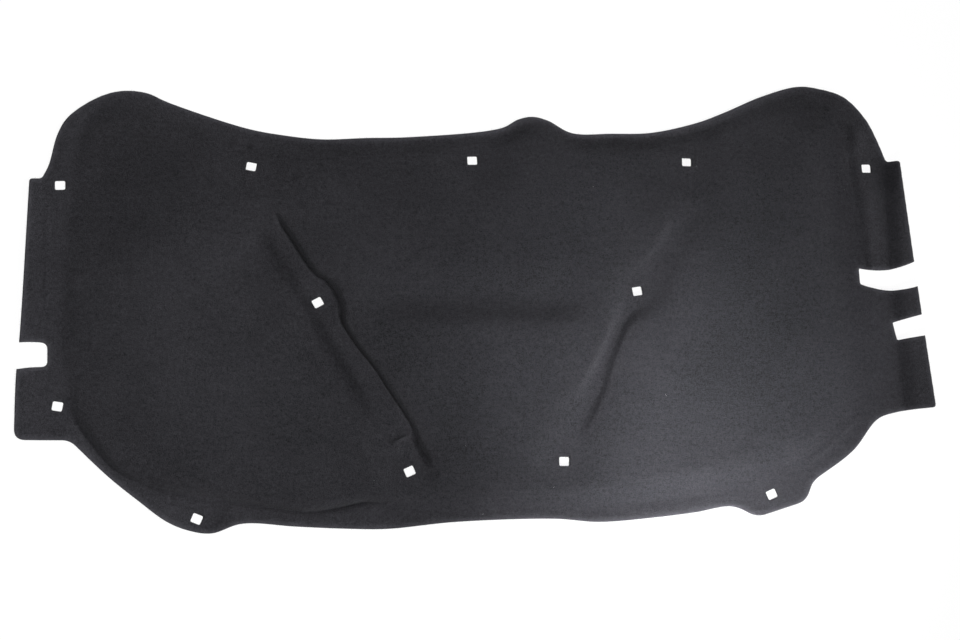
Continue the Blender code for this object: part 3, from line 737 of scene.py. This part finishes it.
    def heights(self, places: np.ndarray, belly: "Belly | None") -> tuple[np.ndarray, np.ndarray, np.ndarray]:
        """The faces' heights over each place.

        Args:
            places: x and y of each place.
            belly: what the simulation adds to the body, if it ran.

        Returns:
            The underside, the upper side, and the loft from 0 to 1.
        """
        risen = self.loft(places)
        raised = risen * self.crown(places)
        under = self.body_hollow * raised * self.off_lands(places) + self.lift(places)
        upper = under + self.edge_thickness + (self.body_thickness - self.edge_thickness) * raised
        distance, _, right = self.valley.measure(places)
        width = np.where(right, self.valley_lower_width, self.valley_half_width)
        ends = np.minimum(places[:, 0] - self.valley.points[0, 0], self.valley.points[-1, 0] - places[:, 0])
        sunken = self.valley_depth * eased(1 - distance / width) * eased(ends / self.valley_fade)
        upper -= sunken
        under -= self.underside_share * sunken
        distance, _, _ = self.left_flange.measure(places)
        upper -= self.crease_depth * np.clip(1 - distance / self.crease_half_width, 0, 1)
        for mark in MARKS:
            rise = mark.heights(places)
            upper += rise
            under += self.underside_share * np.minimum(rise, 0)
        if belly is not None:
            swell = belly.at(places) * risen
            upper += swell
            under += self.belly_share * swell
        upper += (self.pressed_ripple + (1 - self.pressed_ripple) * risen) * self.uneven(places)
        distance = self.from_edge(places)
        rounded = 1 - np.sqrt(np.clip(1 - (1 - np.clip(distance / self.edge_round, 0, 1)) ** 2, 0, 1))
        upper -= self.edge_fall * self.edge_thickness * rounded
        under += self.edge_rise * self.edge_thickness * rounded
        under = np.maximum(under, 0)
        return under, np.maximum(upper, under + self.least_thickness), risen

    def uneven(self, places: np.ndarray) -> np.ndarray:
        """Soft ripples and small dimples of the felt's surface."""
        rise = np.empty(len(places))
        for i, (x, y) in enumerate(places):
            broad = solid_noise.noise(Vector((x, y, self.ripple_slice)) / self.ripple_length)
            small = solid_noise.noise(Vector((x, y, self.dimple_slice)) / self.dimple_length)
            rise[i] = self.ripple * broad + self.dimple * small
        return rise

    def from_edge(self, places: np.ndarray, clip_holes: bool = True) -> np.ndarray:
        """Distance from each place to the nearest cut edge or notch, or clip hole if these count."""
        lines = [self.cut_edge, *self.openings[0 if clip_holes else len(CLIP_HOLES):]]
        tree = search_tree(np.vstack([spaced(looped(line.points)[:, :2], self.rim_step) for line in lines]))
        return np.array([tree.find((x, y, 0))[2] for x, y in places])

    def guide_lines(self) -> Iterator[tuple[np.ndarray, float]]:
        """Lines that the mesh follows, each with the least distance of its points from others."""
        for line in (self.cut_edge, *self.openings):
            way = -1 if line is self.cut_edge else 1
            for inset in self.edge_insets:
                yield line.beside(way * inset * self.edge_round, self.edge_step), 0.0004
        for mark in MARKS:
            if mark.form is Form.FOLD or mark.half_width < self.narrow_step:
                line = mark.line(self.line_step / 2)
                for side in (0, -0.5, 0.5, -1, 1):
                    yield line.beside(side * mark.half_width, 0.0018), 0.0009
        for floor in self.channels:
            wall = np.minimum(floor.points[:, 2], SOFT)
            for part in (0, 0.25, 0.5, 0.75, 1):
                yield floor.beside(part * wall, 0.0020), 0.0008
        for side in (0, -1, 1):
            yield self.left_flange.beside(side * self.crease_half_width, 0.0025), 0.0012
        for part in (0, 0.25, 0.5, 0.75, 1):
            yield self.foot.beside(-part * SOFT, self.line_step), 0.002
            yield self.right_fold.beside(part * self.tab_curl_width, self.line_step), 0.0015

    def triangles(self) -> tuple[np.ndarray, np.ndarray]:
        """The fine plan mesh.

        Returns:
            Its places, and its triangles, anticlockwise seen from above.
        """
        cloud = PointCloud()
        rims = [cloud.add(line.points, 1e-5) for line in (self.cut_edge, *self.openings)]
        for line, least in self.guide_lines():
            cloud.add(line[self.on_felt(line)], least)
        low, high = self.cut_edge.points.min(axis=0), self.cut_edge.points.max(axis=0)
        rows = np.arange(low[1], high[1], self.lattice_step * math.sqrt(3) / 2)
        columns = np.arange(low[0], high[0], self.lattice_step)
        for i, y in enumerate(rows):
            row = np.column_stack([columns + (i % 2) * self.lattice_step / 2, np.full(len(columns), y)])
            cloud.add(row[self.on_felt(row)], 0.6 * self.lattice_step)
        edges = [(a, b) for rim in rims[1:] for a, b in zip(rim, rim[1:] + rim[:1])]
        places, _, faces, *_ = delaunay_2d_cdt([Vector(p) for p in cloud.points], edges, [rims[0]], 1, 1e-9)
        places = np.array([tuple(place) for place in places])
        faces = np.array(faces)
        faces = faces[self.on_felt(places[faces].mean(axis=1))]
        used, faces = np.unique(faces, return_inverse=True)
        return places[used], faces.reshape(-1, 3)

    def build(self, belly: "Belly | None") -> bpy.types.Object:
        """The pad as one closed mesh with its surface attributes.

        Args:
            belly: what the simulation adds to the body, if it ran.

        Returns:
            The new object, in place.
        """
        places, faces = self.triangles()
        under, upper, risen = self.heights(places, belly)
        count = len(places)
        directed = np.concatenate([faces[:, [0, 1]], faces[:, [1, 2]], faces[:, [2, 0]]])
        keys = np.sort(directed, axis=1)
        _, index, uses = np.unique(keys, axis=0, return_inverse=True, return_counts=True)
        rim = directed[uses[index.reshape(-1)] == 1]
        ring = np.unique(rim)
        number = np.full(count, -1)
        number[ring] = np.arange(len(ring)) + 2 * count
        run = places[rim[:, 1]] - places[rim[:, 0]]
        out = np.zeros((count, 2))
        for end in (0, 1):
            np.add.at(out, rim[:, end], np.column_stack([run[:, 1], -run[:, 0]]))
        out /= np.maximum(np.linalg.norm(out, axis=1), 1e-12)[:, None]
        bulge = self.edge_bulge * self.edge_thickness
        middle = np.column_stack([places[ring] + bulge * out[ring], (under + upper)[ring] / 2])
        points = np.vstack([
            np.column_stack([places, upper]), np.column_stack([places, under]), middle,
        ])
        a, b = rim.T
        walls = np.vstack([
            np.column_stack([b, a, number[a], number[b]]),
            np.column_stack([number[b], number[a], a + count, b + count]),
        ])
        mesh = bpy.data.meshes.new("moulded_felt")
        backs = faces[:, ::-1] + count
        mesh.from_pydata(points.tolist(), [], [*faces.tolist(), *backs.tolist(), *walls.tolist()])
        mesh.shade_smooth()
        mesh.set_sharp_from_angle(angle=math.radians(self.crisp_angle))
        # The cut_edge attribute is a painted highlight: 1 at the cut edge, fading to 0 inwards; the middle ring
        # of the cut wall gets 0, so the wall is painted darker there
        lip_highlight = 1 - eased(self.from_edge(places, clip_holes=False) / self.lip_highlight_width)
        # The pressed attribute flattens the nap's bump for real, and also lightens the colour a little as a
        # painted sheen
        for name, values, on_rim in (("pressed", 1 - risen, 1.0), ("cut_edge", lip_highlight, 0.0)):
            attribute = mesh.attributes.new(name, "FLOAT", "POINT")
            whole = np.concatenate([values, values, np.full(len(ring), on_rim)])
            attribute.data.foreach_set("value", whole.astype(np.float32))
        return add_object("moulded_felt", mesh)


@dataclass
class Belly:
    """How far the felt bellies between its pressed lines, from a short cloth simulation of the body."""

    spacing: float = 0.014
    frames: int = 20
    pressure: float = 0.35
    growth: float = 0.002
    cap: float = 0.0016
    held_below: float = 0.6
    neighbours: int = 7
    quality: int = 6
    mass: float = 0.3
    stretch_stiffness: float = 25
    shear_stiffness: float = 10
    bending_stiffness: float = 6
    flat: np.ndarray = field(init=False)
    rise: np.ndarray = field(init=False)

    def run(self, pad: InsulationPad) -> None:
        """Simulates the body as a sheet that is held where it is pressed flat.

        Args:
            pad: the pad, for its plan and its loft.
        """
        cloud = PointCloud(cell=self.spacing)
        rim = cloud.add(spaced(looped(pad.cut_edge.points), self.spacing)[:-1], 0.004)
        low, high = pad.cut_edge.points.min(axis=0), pad.cut_edge.points.max(axis=0)
        for i, y in enumerate(np.arange(low[1], high[1], self.spacing * math.sqrt(3) / 2)):
            xs = np.arange(low[0] + (i % 2) * self.spacing / 2, high[0], self.spacing)
            row = np.column_stack([xs, np.full(len(xs), y)])
            cloud.add(row[pad.cut_edge.encloses(row)], 0.7 * self.spacing)
        places, _, faces, *_ = delaunay_2d_cdt([Vector(p) for p in cloud.points], [], [rim], 1, 1e-9)
        flat = np.array([tuple(place) for place in places])
        risen = pad.loft(flat)
        height = pad.body_hollow * risen * pad.crown(flat)
        mesh = bpy.data.meshes.new("felt_sheet")
        mesh.from_pydata(np.column_stack([flat, height]).tolist(), [], faces)
        sheet = add_object("felt_sheet", mesh)
        held = sheet.vertex_groups.new(name="held")
        for i, share in enumerate(risen):
            if share < self.held_below:
                held.add([i], 1.0, "REPLACE")
        self.settle(sheet)
        graph = bpy.context.evaluated_depsgraph_get()
        settled = sheet.evaluated_get(graph).data
        moved = np.empty(3 * len(flat), np.float32)
        settled.vertices.foreach_get("co", moved)
        rise = self.cap * np.tanh((moved.reshape(-1, 3)[:, 2] - height) / self.cap)
        log.info("belly: from %.2f to %.2f mm", 1000 * rise.min(), 1000 * rise.max())
        self.flat, self.rise = flat, rise
        bpy.data.objects.remove(sheet)
        bpy.data.meshes.remove(mesh)

    def settle(self, sheet: bpy.types.Object) -> None:
        """Runs the cloth for its frames, with no gravity and a light pressure from below."""
        cloth = sheet.modifiers.new("settle", "CLOTH")
        settings = cloth.settings
        settings.quality = self.quality
        settings.mass = self.mass
        settings.tension_stiffness = settings.compression_stiffness = self.stretch_stiffness
        settings.shear_stiffness = self.shear_stiffness
        settings.bending_stiffness = self.bending_stiffness
        settings.vertex_group_mass = "held"
        settings.shrink_min = -self.growth
        settings.use_pressure = True
        settings.uniform_pressure_force = self.pressure
        settings.effector_weights.gravity = 0
        cloth.collision_settings.use_collision = False
        scene = bpy.context.scene
        cloth.point_cache.frame_start, cloth.point_cache.frame_end = 1, self.frames
        for number in range(1, self.frames + 1):
            scene.frame_set(number)

    def at(self, places: np.ndarray) -> np.ndarray:
        """The rise at each place, blended from the nearest simulated points."""
        tree = search_tree(self.flat)
        found = np.empty(len(places))
        for i, (x, y) in enumerate(places):
            near = tree.find_n((x, y, 0), self.neighbours)
            weights = [math.exp(-((hit[2] / (0.7 * self.spacing)) ** 2)) for hit in near]
            found[i] = sum(w * self.rise[hit[1]] for w, hit in zip(weights, near)) / sum(weights)
        return found


class Wiring:
    """Adds and joins the nodes of one node tree."""

    def __init__(self, tree: bpy.types.NodeTree) -> None:
        """Starts with an empty tree."""
        self.tree = tree
        tree.nodes.clear()

    def node(self, kind: str, settings: dict | None = None, **inputs: object) -> bpy.types.Node:
        """A new node.

        Args:
            kind: its type.
            settings: its own properties.
            inputs: by socket name with spaces as underscores, a value or a socket to join to it.

        Returns:
            The node.
        """
        made = self.tree.nodes.new(kind)
        for name, value in (settings or {}).items():
            setattr(made, name, value)
        for name, value in inputs.items():
            self.feed(made.inputs[int(name[1:]) if name[1:].isdigit() else name.replace("_", " ")], value)
        return made

    def feed(self, socket: bpy.types.NodeSocket, value: object) -> None:
        """Joins a socket to the input, or sets the input's value."""
        if isinstance(value, bpy.types.NodeSocket):
            self.tree.links.new(value, socket)
        else:
            socket.default_value = value

    def math(self, operation: str, *values: object) -> bpy.types.NodeSocket:
        """The result of a Math node."""
        made = self.node("ShaderNodeMath", {"operation": operation})
        for socket, value in zip(made.inputs, values):
            self.feed(socket, value)
        return made.outputs[0]

    def ramp(
        self, value: object, low: float, high: float, start: float = 0, end: float = 1
    ) -> bpy.types.NodeSocket:
        """A value mapped from low..high to start..end, and held there beyond them."""
        return self.node("ShaderNodeMapRange", _0=value, _1=low, _2=high, _3=start, _4=end).outputs[0]

    def blend(self, share: object, first: object, second: object) -> bpy.types.NodeSocket:
        """A mix of two colours."""
        made = self.node("ShaderNodeMix", {"data_type": "RGBA"}, _0=share, _6=first, _7=second)
        return made.outputs[2]


def named_tree(name: str, kind: str, inputs: Sequence[tuple], outputs: Sequence[tuple]) -> bpy.types.NodeTree:
    """A node group with named sockets.

    Args:
        name: the group's name.
        kind: ShaderNodeTree or GeometryNodeTree.
        inputs: each socket's name, type and value.
        outputs: each socket's name and type.

    Returns:
        The group.
    """
    tree = bpy.data.node_groups.new(name, kind)
    for socket, kind_of, *value in inputs:
        made = tree.interface.new_socket(socket, in_out="INPUT", socket_type=kind_of)
        if value:
            made.default_value = value[0]
    for socket, kind_of in outputs:
        tree.interface.new_socket(socket, in_out="OUTPUT", socket_type=kind_of)
    return tree


# How much of the pale fibre shows in the fine nap and in its patches, and how far the colour is lightened as a
# painted highlight on the cut edge and as a painted sheen where the felt is pressed
FINE_SHARE, PATCHY_SHARE, CUT_EDGE_HIGHLIGHT_SHARE, PRESSED_SHEEN_SHARE = 0.68, 0.28, 0.45, 0.06


def felt_nap_group() -> bpy.types.NodeTree:
    """Needled felt: tangled fibres, mottling and soft clouds, with a painted highlight on the cut edge and a
    painted sheen where it is pressed, as a colour, a roughness and a height.
    """
    number, colour = "NodeSocketFloat", "NodeSocketColor"
    tree = named_tree(
        "felt_nap", "ShaderNodeTree",
        [("Ground", colour, (0.02, 0.02, 0.02, 1)), ("Fibre", colour, (0.06, 0.06, 0.06, 1)),
         ("Fibre Scale", number, 700.0), ("Mottle Scale", number, 240.0), ("Cloud Scale", number, 6.0),
         ("Streak Scale", number, 260.0), ("Pressed", number, 0.0), ("Cut Edge", number, 0.0)],
        [("Color", colour), ("Roughness", number), ("Height", number)],
    )
    w = Wiring(tree)
    given = w.node("NodeGroupInput").outputs
    place = w.node("ShaderNodeTexCoord").outputs["Object"]
    bend = w.node("ShaderNodeTexNoise", Vector=place, Scale=given["Mottle Scale"], Detail=2.0).outputs["Color"]
    shift = w.node("ShaderNodeVectorMath", {"operation": "SCALE"}, _0=bend, Scale=0.004).outputs[0]
    bent = w.node("ShaderNodeVectorMath", {"operation": "ADD"}, _0=place, _1=shift).outputs[0]
    tangle = w.node(
        "ShaderNodeTexNoise", {"noise_type": "RIDGED_MULTIFRACTAL", "normalize": True}, Vector=bent,
        Scale=given["Fibre Scale"], Detail=3.0, Roughness=0.6, Lacunarity=2.1,
    ).outputs["Fac"]
    grain = w.node(
        "ShaderNodeTexNoise", Vector=place, Scale=given["Fibre Scale"], Detail=3.0, Roughness=0.7
    ).outputs["Fac"]
    mottle = w.node(
        "ShaderNodeTexNoise", Vector=place, Scale=given["Mottle Scale"], Detail=4.0, Roughness=0.65
    ).outputs["Fac"]
    along = w.node("ShaderNodeVectorMath", {"operation": "MULTIPLY"}, _0=place, _1=(0.16, 1.0, 1.0)).outputs[0]
    streak = w.node(
        "ShaderNodeTexNoise", Vector=along, Scale=given["Streak Scale"], Detail=2.0, Roughness=0.6
    ).outputs["Fac"]
    cloud = w.node(
        "ShaderNodeTexNoise", Vector=place, Scale=given["Cloud Scale"], Detail=3.0, Roughness=0.5
    ).outputs["Fac"]
    fine = w.math("ADD", w.ramp(grain, 0.38, 0.64), w.math("MULTIPLY", w.ramp(tangle, 0.42, 0.86), 0.7))
    fine = w.math("MULTIPLY", fine, 0.5)
    patchy = w.math("ADD", w.ramp(mottle, 0.32, 0.70), w.ramp(cloud, 0.35, 0.68, 0, 0.5))
    patchy = w.math("ADD", patchy, w.ramp(streak, 0.36, 0.66, 0, 0.22))
    share = w.math("ADD", w.math("MULTIPLY", fine, FINE_SHARE), w.math("MULTIPLY", patchy, PATCHY_SHARE))
    # Painted highlight: the colour is lightened along the cut edge's rounded lip, where light catches it
    share = w.math("ADD", share, w.math("MULTIPLY", given["Cut Edge"], CUT_EDGE_HIGHLIGHT_SHARE))
    # Painted sheen: pressed felt is lightened a little, standing in for the sheen of its smoother surface
    share = w.math("ADD", share, w.math("MULTIPLY", given["Pressed"], PRESSED_SHEEN_SHARE))
    standing = w.math("SUBTRACT", 1.0, w.math("MULTIPLY", given["Pressed"], 0.45))
    height = w.math("ADD", w.math("MULTIPLY", fine, standing), w.math("MULTIPLY", mottle, 0.9))
    w.node(
        "NodeGroupOutput", Color=w.blend(share, given["Ground"], given["Fibre"]),
        Roughness=w.ramp(fine, 0, 1, 0.97, 0.86), Height=height,
    )
    return tree


@dataclass(frozen=True)
class FeltFinish:
    """A felt or fibre finish, made from the shared nap."""

    name: str
    ground: Point
    fibre: Point
    bump: float = 0.5
    bump_depth: float = 0.0013
    specular: float = 0.08
    sheen: float = 0.0
    sheen_roughness: float = 0.6
    sheen_tint: Point = (0.75, 0.76, 0.80, 1)
    follows_surface: bool = True

    def material(self, nap: bpy.types.NodeTree) -> bpy.types.Material:
        """The finish as a material.

        Args:
            nap: the shared felt group.

        Returns:
            The new material.
        """
        made = bpy.data.materials.new(self.name)
        made.use_nodes = True
        w = Wiring(made.node_tree)
        group = w.node("ShaderNodeGroup", {"node_tree": nap}, Ground=(*self.ground, 1), Fibre=(*self.fibre, 1))
        if self.follows_surface:
            # These attributes paint light into the colour: a highlight on the cut edge's lip and a slight sheen
            # on pressed felt
            for name, socket in (("pressed", "Pressed"), ("cut_edge", "Cut Edge")):
                read = w.node("ShaderNodeAttribute", {"attribute_name": name})
                w.feed(group.inputs[socket], read.outputs["Fac"])
        height = group.outputs["Height"]
        bump = w.node("ShaderNodeBump", Strength=self.bump, Distance=self.bump_depth, Height=height)
        shader = w.node("ShaderNodeBsdfPrincipled", Base_Color=group.outputs["Color"],
                        Roughness=group.outputs["Roughness"], Normal=bump.outputs["Normal"])
        shader.inputs["Specular IOR Level"].default_value = self.specular
        shader.inputs["Sheen Weight"].default_value = self.sheen
        shader.inputs["Sheen Roughness"].default_value = self.sheen_roughness
        shader.inputs["Sheen Tint"].default_value = self.sheen_tint
        w.node("ShaderNodeOutputMaterial", Surface=shader.outputs[0])
        return made


def fibre_tree() -> bpy.types.NodeTree:
    """Curved fibres scattered over a surface: a point set, a bent hair on each, made real."""
    number = "NodeSocketFloat"
    tree = named_tree(
        "fibres_on_a_surface", "GeometryNodeTree",
        [("Surface", "NodeSocketGeometry"), ("Density", number, 1000.0), ("Length", number, 0.003),
         ("Radius", number, 0.00004), ("Bend", number, 0.4), ("Tilt", number, 1.0),
         ("Seed", "NodeSocketInt", 1), ("Finish", "NodeSocketMaterial")],
        [("Fibres", "NodeSocketGeometry")],
    )
    w = Wiring(tree)
    given = w.node("NodeGroupInput").outputs
    spread = w.node("GeometryNodeDistributePointsOnFaces", Mesh=given["Surface"], Density=given["Density"],
                    Seed=given["Seed"])
    side = w.math("MULTIPLY", given["Length"], given["Bend"])
    middle = w.node("ShaderNodeCombineXYZ", X=side, Z=w.math("MULTIPLY", given["Length"], 0.55)).outputs[0]
    tip = w.node("ShaderNodeCombineXYZ", X=w.math("MULTIPLY", side, 0.3), Y=w.math("MULTIPLY", side, 0.8),
                 Z=given["Length"]).outputs[0]
    hair = w.node("GeometryNodeCurveQuadraticBezier", Resolution=4, Middle=middle, End=tip)
    w.feed(hair.inputs["Start"], (0, 0, 0))
    ring = w.node("GeometryNodeCurvePrimitiveCircle", Resolution=3, Radius=given["Radius"])
    tube = w.node("GeometryNodeCurveToMesh", Curve=hair.outputs[0], Profile_Curve=ring.outputs["Curve"])
    least = w.node("ShaderNodeCombineXYZ", X=w.math("MULTIPLY", given["Tilt"], -1.0),
                   Y=w.math("MULTIPLY", given["Tilt"], -1.0), Z=-math.pi).outputs[0]
    most = w.node("ShaderNodeCombineXYZ", X=given["Tilt"], Y=given["Tilt"], Z=math.pi).outputs[0]
    lean = w.node("FunctionNodeRandomValue", {"data_type": "FLOAT_VECTOR"}, _0=least, _1=most,
                  Seed=given["Seed"])
    turn = w.node("FunctionNodeRotateRotation", {"rotation_space": "LOCAL"},
                  Rotation=spread.outputs["Rotation"], Rotate_By=lean.outputs[0])
    size = w.node("FunctionNodeRandomValue", {"data_type": "FLOAT"}, _2=0.45, _3=1.25, Seed=given["Seed"])
    copies = w.node("GeometryNodeInstanceOnPoints", Points=spread.outputs["Points"], Instance=tube.outputs[0],
                    Rotation=turn.outputs[0], Scale=size.outputs[1])
    real = w.node("GeometryNodeRealizeInstances", Geometry=copies.outputs[0])
    dressed = w.node("GeometryNodeSetMaterial", Geometry=real.outputs[0], Material=given["Finish"])
    w.node("NodeGroupOutput", Fibres=dressed.outputs[0])
    return tree


@dataclass(frozen=True)
class Fibres:
    """One growth of loose fibres on part of the felt."""

    name: str
    density: float
    length: float
    radius: float
    bend: float
    tilt: float
    seed: int

    def grow(
        self, tree: bpy.types.NodeTree, felt: bpy.types.Object, faces: np.ndarray, finish: bpy.types.Material
    ) -> bpy.types.Object:
        """Grows the fibres and makes them a plain mesh.

        Args:
            tree: the shared fibre tree.
            felt: the pad's object.
            faces: the numbers of the faces that they stand on.
            finish: their material.

        Returns:
            The new object.
        """
        bed = bpy.data.meshes.new("bed")
        corners = [tuple(felt.data.polygons[i].vertices) for i in faces]
        used = sorted({i for face in corners for i in face})
        renumbered = {old: new for new, old in enumerate(used)}
        bed.from_pydata(
            [felt.data.vertices[i].co for i in used], [], [[renumbered[i] for i in face] for face in corners]
        )
        carrier = add_object("bed", bed)
        grown = carrier.modifiers.new("fibres", "NODES")
        grown.node_group = tree
        known = {item.name: item.identifier for item in tree.interface.items_tree if item.in_out == "INPUT"}
        for name, value in (
            ("Density", self.density), ("Length", self.length), ("Radius", self.radius), ("Bend", self.bend),
            ("Tilt", self.tilt), ("Seed", self.seed), ("Finish", finish),
        ):
            grown[known[name]] = value
        graph = bpy.context.evaluated_depsgraph_get()
        mesh = bpy.data.meshes.new_from_object(carrier.evaluated_get(graph))
        mesh.name = self.name
        mesh.materials.clear()
        mesh.materials.append(finish)
        bpy.data.objects.remove(carrier)
        bpy.data.meshes.remove(bed)
        return add_object(self.name, mesh)


@dataclass
class Studio:
    """White floor, soft light and the camera at the photograph's viewing angle."""

    floor_size: float = 14.0
    floor_drop: float = 0.0002
    floor_shade: float = 0.9
    floor_glow: float = 0.92
    distance: float = 2.0
    azimuth: float = -34.0
    elevation: float = 78.4
    roll: float = 1.6
    lens: float = 57.4
    sensor: float = 36
    shift: tuple[float, float] = (-0.00358, -0.01889)
    sky: float = 0.46
    sun_power: float = 5.1
    sun_from: Point = (0.96, -0.22, 0.36)
    sun_softness: float = 24.0
    key_power: float = 3.2
    key_place: Point = (0.26, -0.62, 0.40)
    key_aim: Point = (0.26, -0.18, 0.0)
    key_size: tuple[float, float] = (0.34, 0.30)
    key_spread: float = 54.0
    fill_power: float = 2.0
    fill_size: float = 0.5
    fill_place: Point = (-0.20, -0.36, 0.86)
    fill_aim: Point = (-0.40, -0.06, 0.0)
    fill_spread: float = 80.0

    def build(self) -> None:
        """Makes the floor, the lights and the camera."""
        self.make_floor()
        self.make_world()
        self.make_lamps()
        self.make_camera()

    def make_floor(self) -> None:
        """A wide white floor that keeps a light shadow."""
        half = self.floor_size / 2
        mesh = bpy.data.meshes.new("floor")
        corners = [(-half, -half, 0), (half, -half, 0), (half, half, 0), (-half, half, 0)]
        mesh.from_pydata(corners, [], [(0, 1, 2, 3)])
        floor = add_object("floor", mesh)
        floor.location.z = -self.floor_drop
        white = bpy.data.materials.new("studio_white")
        white.use_nodes = True
        w = Wiring(white.node_tree)
        matt = w.node("ShaderNodeBsdfDiffuse", Color=(*[self.floor_shade] * 3, 1))
        plain = w.node("ShaderNodeEmission", Color=(1, 1, 1, 1), Strength=1.0)
        seen = self.seen_share(w, self.floor_glow)
        mixed = w.node("ShaderNodeMixShader", _0=seen, _1=matt.outputs[0], _2=plain.outputs[0])
        w.node("ShaderNodeOutputMaterial", Surface=mixed.outputs[0])
        mesh.materials.append(white)

    @staticmethod
    def seen_share(w: Wiring, share: float) -> bpy.types.NodeSocket:
        """This share for rays from the camera, or seen in gloss or through glass, and 0 for the rest."""
        path = w.node("ShaderNodeLightPath").outputs
        seen = w.math("MAXIMUM", path["Is Camera Ray"], path["Is Glossy Ray"])
        return w.math("MULTIPLY", w.math("MAXIMUM", seen, path["Is Transmission Ray"]), share)

    def make_world(self) -> None:
        """A plain white world that lights softly and is seen as white."""
        world = bpy.data.worlds.new("studio")
        world.use_nodes = True
        w = Wiring(world.node_tree)
        strength = w.math("ADD", self.seen_share(w, 1 - self.sky), self.sky)
        back = w.node("ShaderNodeBackground", Color=(1, 1, 1, 1), Strength=strength)
        w.node("ShaderNodeOutputWorld", Surface=back.outputs[0])
        bpy.context.scene.world = world

    def make_lamps(self) -> None:
        """A soft low sun from the right, a lamp beyond the lower right edge and a weak fill over the left."""
        sun = bpy.data.lights.new("low_sun", "SUN")
        sun.energy, sun.angle = self.sun_power, math.radians(self.sun_softness)
        self.aim(sun, self.sun_from, (0, 0, 0))
        key = bpy.data.lights.new("key", "AREA")
        key.shape, key.energy = "RECTANGLE", self.key_power
        key.size, key.size_y = self.key_size
        key.spread = math.radians(self.key_spread)
        self.aim(key, self.key_place, self.key_aim)
        fill = bpy.data.lights.new("left_fill", "AREA")
        fill.shape, fill.size, fill.energy = "DISK", self.fill_size, self.fill_power
        fill.spread = math.radians(self.fill_spread)
        self.aim(fill, self.fill_place, self.fill_aim)

    @staticmethod
    def aim(light: bpy.types.Light, place: Point, target: Point) -> None:
        """Puts a light at a place and turns it to its target."""
        lamp = add_object(light.name, light)
        lamp.location = place
        lamp.rotation_euler = (Vector(target) - Vector(place)).to_track_quat("-Z", "Y").to_euler()

    def make_camera(self) -> None:
        """The camera, above the pad's lower left."""
        azimuth, elevation, roll = (math.radians(x) for x in (self.azimuth, self.elevation, self.roll))
        level = math.cos(elevation)
        back = Vector((math.sin(azimuth) * level, -math.cos(azimuth) * level, math.sin(elevation)))
        right = (Vector((1, 0, 0)) + back * -back.x).normalized()
        up = back.cross(right)
        right, up = (
            math.cos(roll) * right - math.sin(roll) * up,
            math.sin(roll) * right + math.cos(roll) * up,
        )
        lens = bpy.data.cameras.new("camera")
        lens.lens, lens.sensor_width = self.lens, self.sensor
        lens.shift_x, lens.shift_y = self.shift
        camera = add_object("camera", lens)
        facing = Matrix((right, up, back)).transposed().to_4x4()
        camera.matrix_world = Matrix.Translation(back * self.distance) @ facing
        bpy.context.scene.camera = camera


def ride(piece: bpy.types.Object, finish: bpy.types.Material | None = None) -> None:
    """Puts a finished piece on the pad's body and reports it."""
    if finish is not None:
        piece.data.materials.append(finish)
    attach(piece, BODY)
    log.info("%s: %d faces", piece.name, len(piece.data.polygons))


def main() -> None:
    """Builds the studio and the dressed pad."""
    logging.basicConfig(level=logging.INFO, format="%(name)s %(message)s")
    bpy.context.scene.view_settings.view_transform = "Standard"
    Studio().build()
    nap = felt_nap_group()
    felt, loose, pale = (finish.material(nap) for finish in (
        FeltFinish("felt", (0.0010, 0.0010, 0.0013), (0.0330, 0.0325, 0.0375), bump=1.0, sheen=0.02),
        FeltFinish("loose_fibre", (0.008, 0.008, 0.009), (0.032, 0.032, 0.035), follows_surface=False),
        FeltFinish("pale_lint", (0.25, 0.25, 0.25), (0.5, 0.5, 0.5), follows_surface=False),
    ))

    low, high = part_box(CAD_NODE)
    pad = InsulationPad(low, high)
    belly = None
    belly = Belly()
    belly.run(pad)
    piece = pad.build(belly)
    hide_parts(CAD_NODE)
    ride(piece, felt)

    normals = np.empty(3 * len(piece.data.polygons), np.float32)
    piece.data.polygons.foreach_get("normal", normals)
    upward = normals.reshape(-1, 3)[:, 2]
    corners = np.array([face.loop_total for face in piece.data.polygons])
    tree = fibre_tree()
    walls = np.flatnonzero(corners == 4)
    top = np.flatnonzero((corners == 3) & (upward > FACES_UP))
    for fibres, bed, finish in (
        (Fibres("cut_edge_fibres", 220000, 0.0016, 0.00003, 0.5, 0.9, 3), walls, loose),
        (Fibres("surface_fibres", 5000, 0.0032, 0.00004, 0.6, 1.5, 5), top, loose),
        (Fibres("pale_lint", 36, 0.0026, 0.00006, 0.9, 1.5, 11), top, pale),
    ):
        ride(fibres.grow(tree, piece, bed, finish))


if __name__ == "__main__":
    main()
